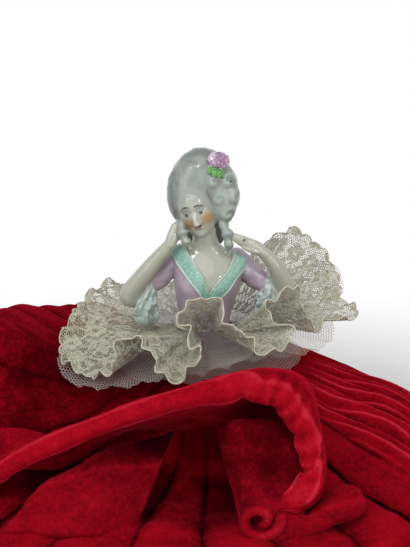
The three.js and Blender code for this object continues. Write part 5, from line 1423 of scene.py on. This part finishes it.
def net_finish(name, light, dark, thread):
    """Plain net: a six-sided mesh of fine thread, open between."""
    finish = Finish(name, Roughness=0.7, Sheen_Weight=0.25, Specular_IOR_Level=0.3)
    along, down, _ = finish.parts(finish.cloth())
    wobble = finish.noise(finish.place(), 300.0, 2.0) * 0.0006
    pleats = finish.math("SINE", along * (2.4 / MM)) + finish.math("SINE", along * (5.3 / MM))
    near_waist = finish.mask(down, 0.034, 0.01)
    drawn_in = near_waist * (0.1 + pleats * 0.05)
    edge = hexagons(finish, (along + wobble) / MM, (down + wobble) / MM, NET_CELL) + drawn_in
    finish.use("Alpha", finish.mask(edge, 1 - thread - 0.05, 1 - thread + 0.05))
    plain = finish.mix(finish.noise(finish.place(), 60.0, 3.0), light, dark)
    # Painted shade in the pleats near the waist.
    pleat_shade = near_waist * finish.mask(pleats, 0.9, -1.3) * 0.6
    finish.use("Base Color", finish.mix(pleat_shade, plain, "84736C"))
    return finish


# Each net: its edge, its layer on the cord, its waves, its finish, its thread, its flat size and its area.
NET_GRID = (620, 44)
NETS = {
    "net_under_ruffle": (UNDER_EDGE, 0, [(22, 0.5, 0.4, 2)], "under_net", 0.15, (0.035, 0.29), 0.0075),
    "net_ruffle": (
        NET_EDGE, 1, [(30, 0.9, 0.4, 2.5), (71, 0.4, 2, 3)], "over_net", 0.19, (0.05, 0.41), 0.0135,
    ),
}
for node_name, (edge, layer, waves, label, thread, cut, cut_area) in NETS.items():
    net = net_finish(label, "D6CCC4", "B5A69E", thread)
    cord_level = NET_HEIGHT + layer * CLOTH_STEP
    grid, flat, length = gathered(edge, cord_level, waves, *NET_GRID, bulge=0.5 - layer)
    ruffle = surface(label + "_cloth", grid, net, "skirt", around=True, cloth=flat)
    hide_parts(node_name)

# The lace: net worked with flowers and leaves in close stitches, each outlined in a laid cord, and a
# scalloped edge finished with a double cord.
LOBE, SCALLOP, LACE_GRID = 6.5, 1.7, (1500, 56)
LACE_WAVES = [(26, 1.6, 0.3, 2.0), (47, 1.3, 2.1, 2.2), (9, 1.4, 1.0, 1.4), (83, 0.5, 0.7, 2.0)]
lace_grid, lace_flat, lace_length = gathered(LACE_EDGE, NET_HEIGHT + 2 * CLOTH_STEP, LACE_WAVES, *LACE_GRID,
                                             scallop=SCALLOP, lobe=LOBE)
lace_finish = Finish("embroidered_lace", Roughness=0.75, Sheen_Weight=0.3, Specular_IOR_Level=0.3)
along, down, _ = lace_finish.parts(lace_finish.cloth())
along, down = along / MM, down / MM
MOTIF_PITCH, LACE_CELL, PATTERN_FOOT = 11.0, 1.1, 48
# Rows of flowers: how far over the pattern's foot, how much of a pitch they are shifted, and their size. Then
# the sprays between them: how far over the foot, and how wide.
ROWS = ((9.0, 0.0, 5.4), (21.5, 0.5, 4.6), (33.0, 0.0, 3.8), (-3.0, 0.5, 5.2), (-14.5, 0.0, 5.0))
SPRAYS = ((15.0, 1.1), (27.0, 0.9), (3.6, 1.0))
depth_of_edge = np.linalg.norm(lace_grid[:, -1] - lace_grid[:, 0], axis=1)


def flower_reach(turn, size):
    """How far a five-petalled flower reaches at a bearing."""
    return size * (0.62 + 0.38 * np.abs(np.cos(2.5 * turn)) ** 0.8)


worked = 0.0
for row_down, offset, size in ROWS:
    a = (lace_finish.math("FLOORED_MODULO", along / MOTIF_PITCH + offset, 1.0) - 0.5) * MOTIF_PITCH
    b = down - (PATTERN_FOOT - row_down)
    away = lace_finish.math("SQRT", a * a + b * b)
    turn = lace_finish.math("ARCTAN2", b, a)
    petals = lace_finish.math("POWER", abs(lace_finish.math("COSINE", turn * 2.5)), 0.8)
    rim = (petals * 0.38 + 0.62) * size
    petal_mask = lace_finish.mask(away - rim, 0.25, -0.25) * lace_finish.mask(away, size * 0.16, size * 0.26)
    worked = lace_finish.most(petal_mask, worked)
for spray_down, spray_wide in SPRAYS:
    swing = lace_finish.math("SINE", along * (4 * math.pi / MOTIF_PITCH) + spray_down) * 1.7
    from_spray = abs(down - swing - (PATTERN_FOOT - spray_down))
    worked = lace_finish.most(worked, lace_finish.mask(from_spray, spray_wide + 0.2, spray_wide - 0.2))
ground = lace_finish.mask(hexagons(lace_finish, along, down, LACE_CELL), 0.6, 0.74)
darned = lace_finish.math("SINE", along * 9.0) * lace_finish.math("SINE", down * 9.0)
filled = worked * (lace_finish.mask(darned, -0.75, -0.35) * 0.2 + 0.8)
weft = lace_finish.mask(lace_finish.noise(lace_finish.place(), 1150.0, 3.0, 0.7), 0.4, 0.58)
lace_finish.use("Alpha", lace_finish.most(filled, ground, 0.1))
aged = lace_finish.noise(lace_finish.place(), 70.0, 4.0, 0.6)
lace_finish.use("Base Color", lace_finish.layered(
    "C0BFAC",
    (aged, "918D76"),
    (worked * 0.5, "C2C0AE"),
    ((1 - weft) * 0.48, "5E5D4B"),
    (weft * 0.4, "DCDAC8"),
))
lace_finish.bump(worked * 0.6 + weft * 0.4, 0.5, 0.0003)
lace = surface("lace_cloth", lace_grid, lace_finish, "skirt", around=True, cloth=lace_flat)

cord_finish = Finish("lace_cord", Roughness=0.7, Sheen_Weight=0.3)
cord_fluff = cord_finish.noise(cord_finish.place(), 1200.0, 2.0)
cord_finish.use("Base Color", cord_finish.mix(cord_fluff, "DEDAC6", "B4AF96"))


def on_lace(s, d):
    """Where a flat place on the lace lies: `s` along the edge and `d` down from the waist, in millimetres."""
    row = s / lace_length * len(lace_grid)
    low = np.floor(row).astype(int)
    share = row - low
    low = low % len(lace_grid)
    column = np.clip(d / depth_of_edge[low], 0, 1) * (lace_grid.shape[1] - 1)
    near = np.clip(np.floor(column).astype(int), 0, lace_grid.shape[1] - 2)
    part = (column - near)[..., None]
    ends = [lace_grid[k % len(lace_grid), near] * (1 - part) + lace_grid[k % len(lace_grid), near + 1] * part
            for k in (low, low + 1)]
    return ends[0] * (1 - share[..., None]) + ends[1] * share[..., None]


def cords(name, lines, radius, sides, finish):
    """Closed cords along several closed lines of points, as one piece."""
    return skins(name, [tube(line, radius, sides) for line in lines], finish, "skirt", along=True)


# The laid cords' radii, and how far the inner one stands off the cloth.
EDGE_CORD, INNER_CORD, OUTLINE_CORD, INNER_CORD_RISE = 0.34, 0.2, 0.23, 0.25
inner_line = lace_grid[:, -4] + [0, 0, INNER_CORD_RISE]
edge_cord = cords("lace_edge_cord", [lace_grid[:, -1]], EDGE_CORD, 6, cord_finish)
inner_cord = cords("lace_inner_cord", [inner_line], INNER_CORD, 5, cord_finish)
# A flower is outlined only where the whole of it lies on the cloth.
OUTLINE_POINTS = 44
outlines = []
turn = full_turn(OUTLINE_POINTS)[:, 0]
for row_down, offset, size in ROWS:
    for k in range(int(lace_length / MOTIF_PITCH)):
        flower_middle = (k + 0.5 - offset) * MOTIF_PITCH
        s = flower_middle + flower_reach(turn, size) * np.cos(turn)
        d = PATTERN_FOOT - row_down + flower_reach(turn, size) * np.sin(turn)
        edge_depth = depth_of_edge[int(flower_middle / lace_length * len(lace_grid)) % len(lace_grid)]
        if d.max() < max(depth_of_edge.min() * 0.98, edge_depth):
            outlines.append(on_lace(s, d))
outline_cord = cords("lace_motif_cord", outlines, OUTLINE_CORD, 4, cord_finish)
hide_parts("lace_flounce")

# The cord that draws them up: two strands of cotton twisted together, drawn tight round the waist over the
# lace.
CORD_RADIUS, STRAND_OFF, STRAND_RADIUS, CORD_TWISTS, CORD_POINTS = 0.6, 0.28, 0.32, 60, 400
cord_height = NET_HEIGHT + 3 * CLOTH_STEP + CORD_RADIUS
cord_turn = full_turn(CORD_POINTS)
strands = []
for start_turn in (0, math.pi):
    twist = start_turn + CORD_TWISTS * cord_turn
    strand_off = FLOUNCE_COLLAR + CORD_RADIUS + STRAND_OFF * np.cos(twist)
    line = torso(cord_turn, np.full((1, 1), cord_height), strand_off)[:, 0]
    line[:, 2] = WAIST + cord_height + STRAND_OFF * np.sin(twist[:, 0])
    strands.append(line)
draw_cord = cords("drawn_cord", strands, STRAND_RADIUS, 6, thread_finish)
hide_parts("gathering_cord")
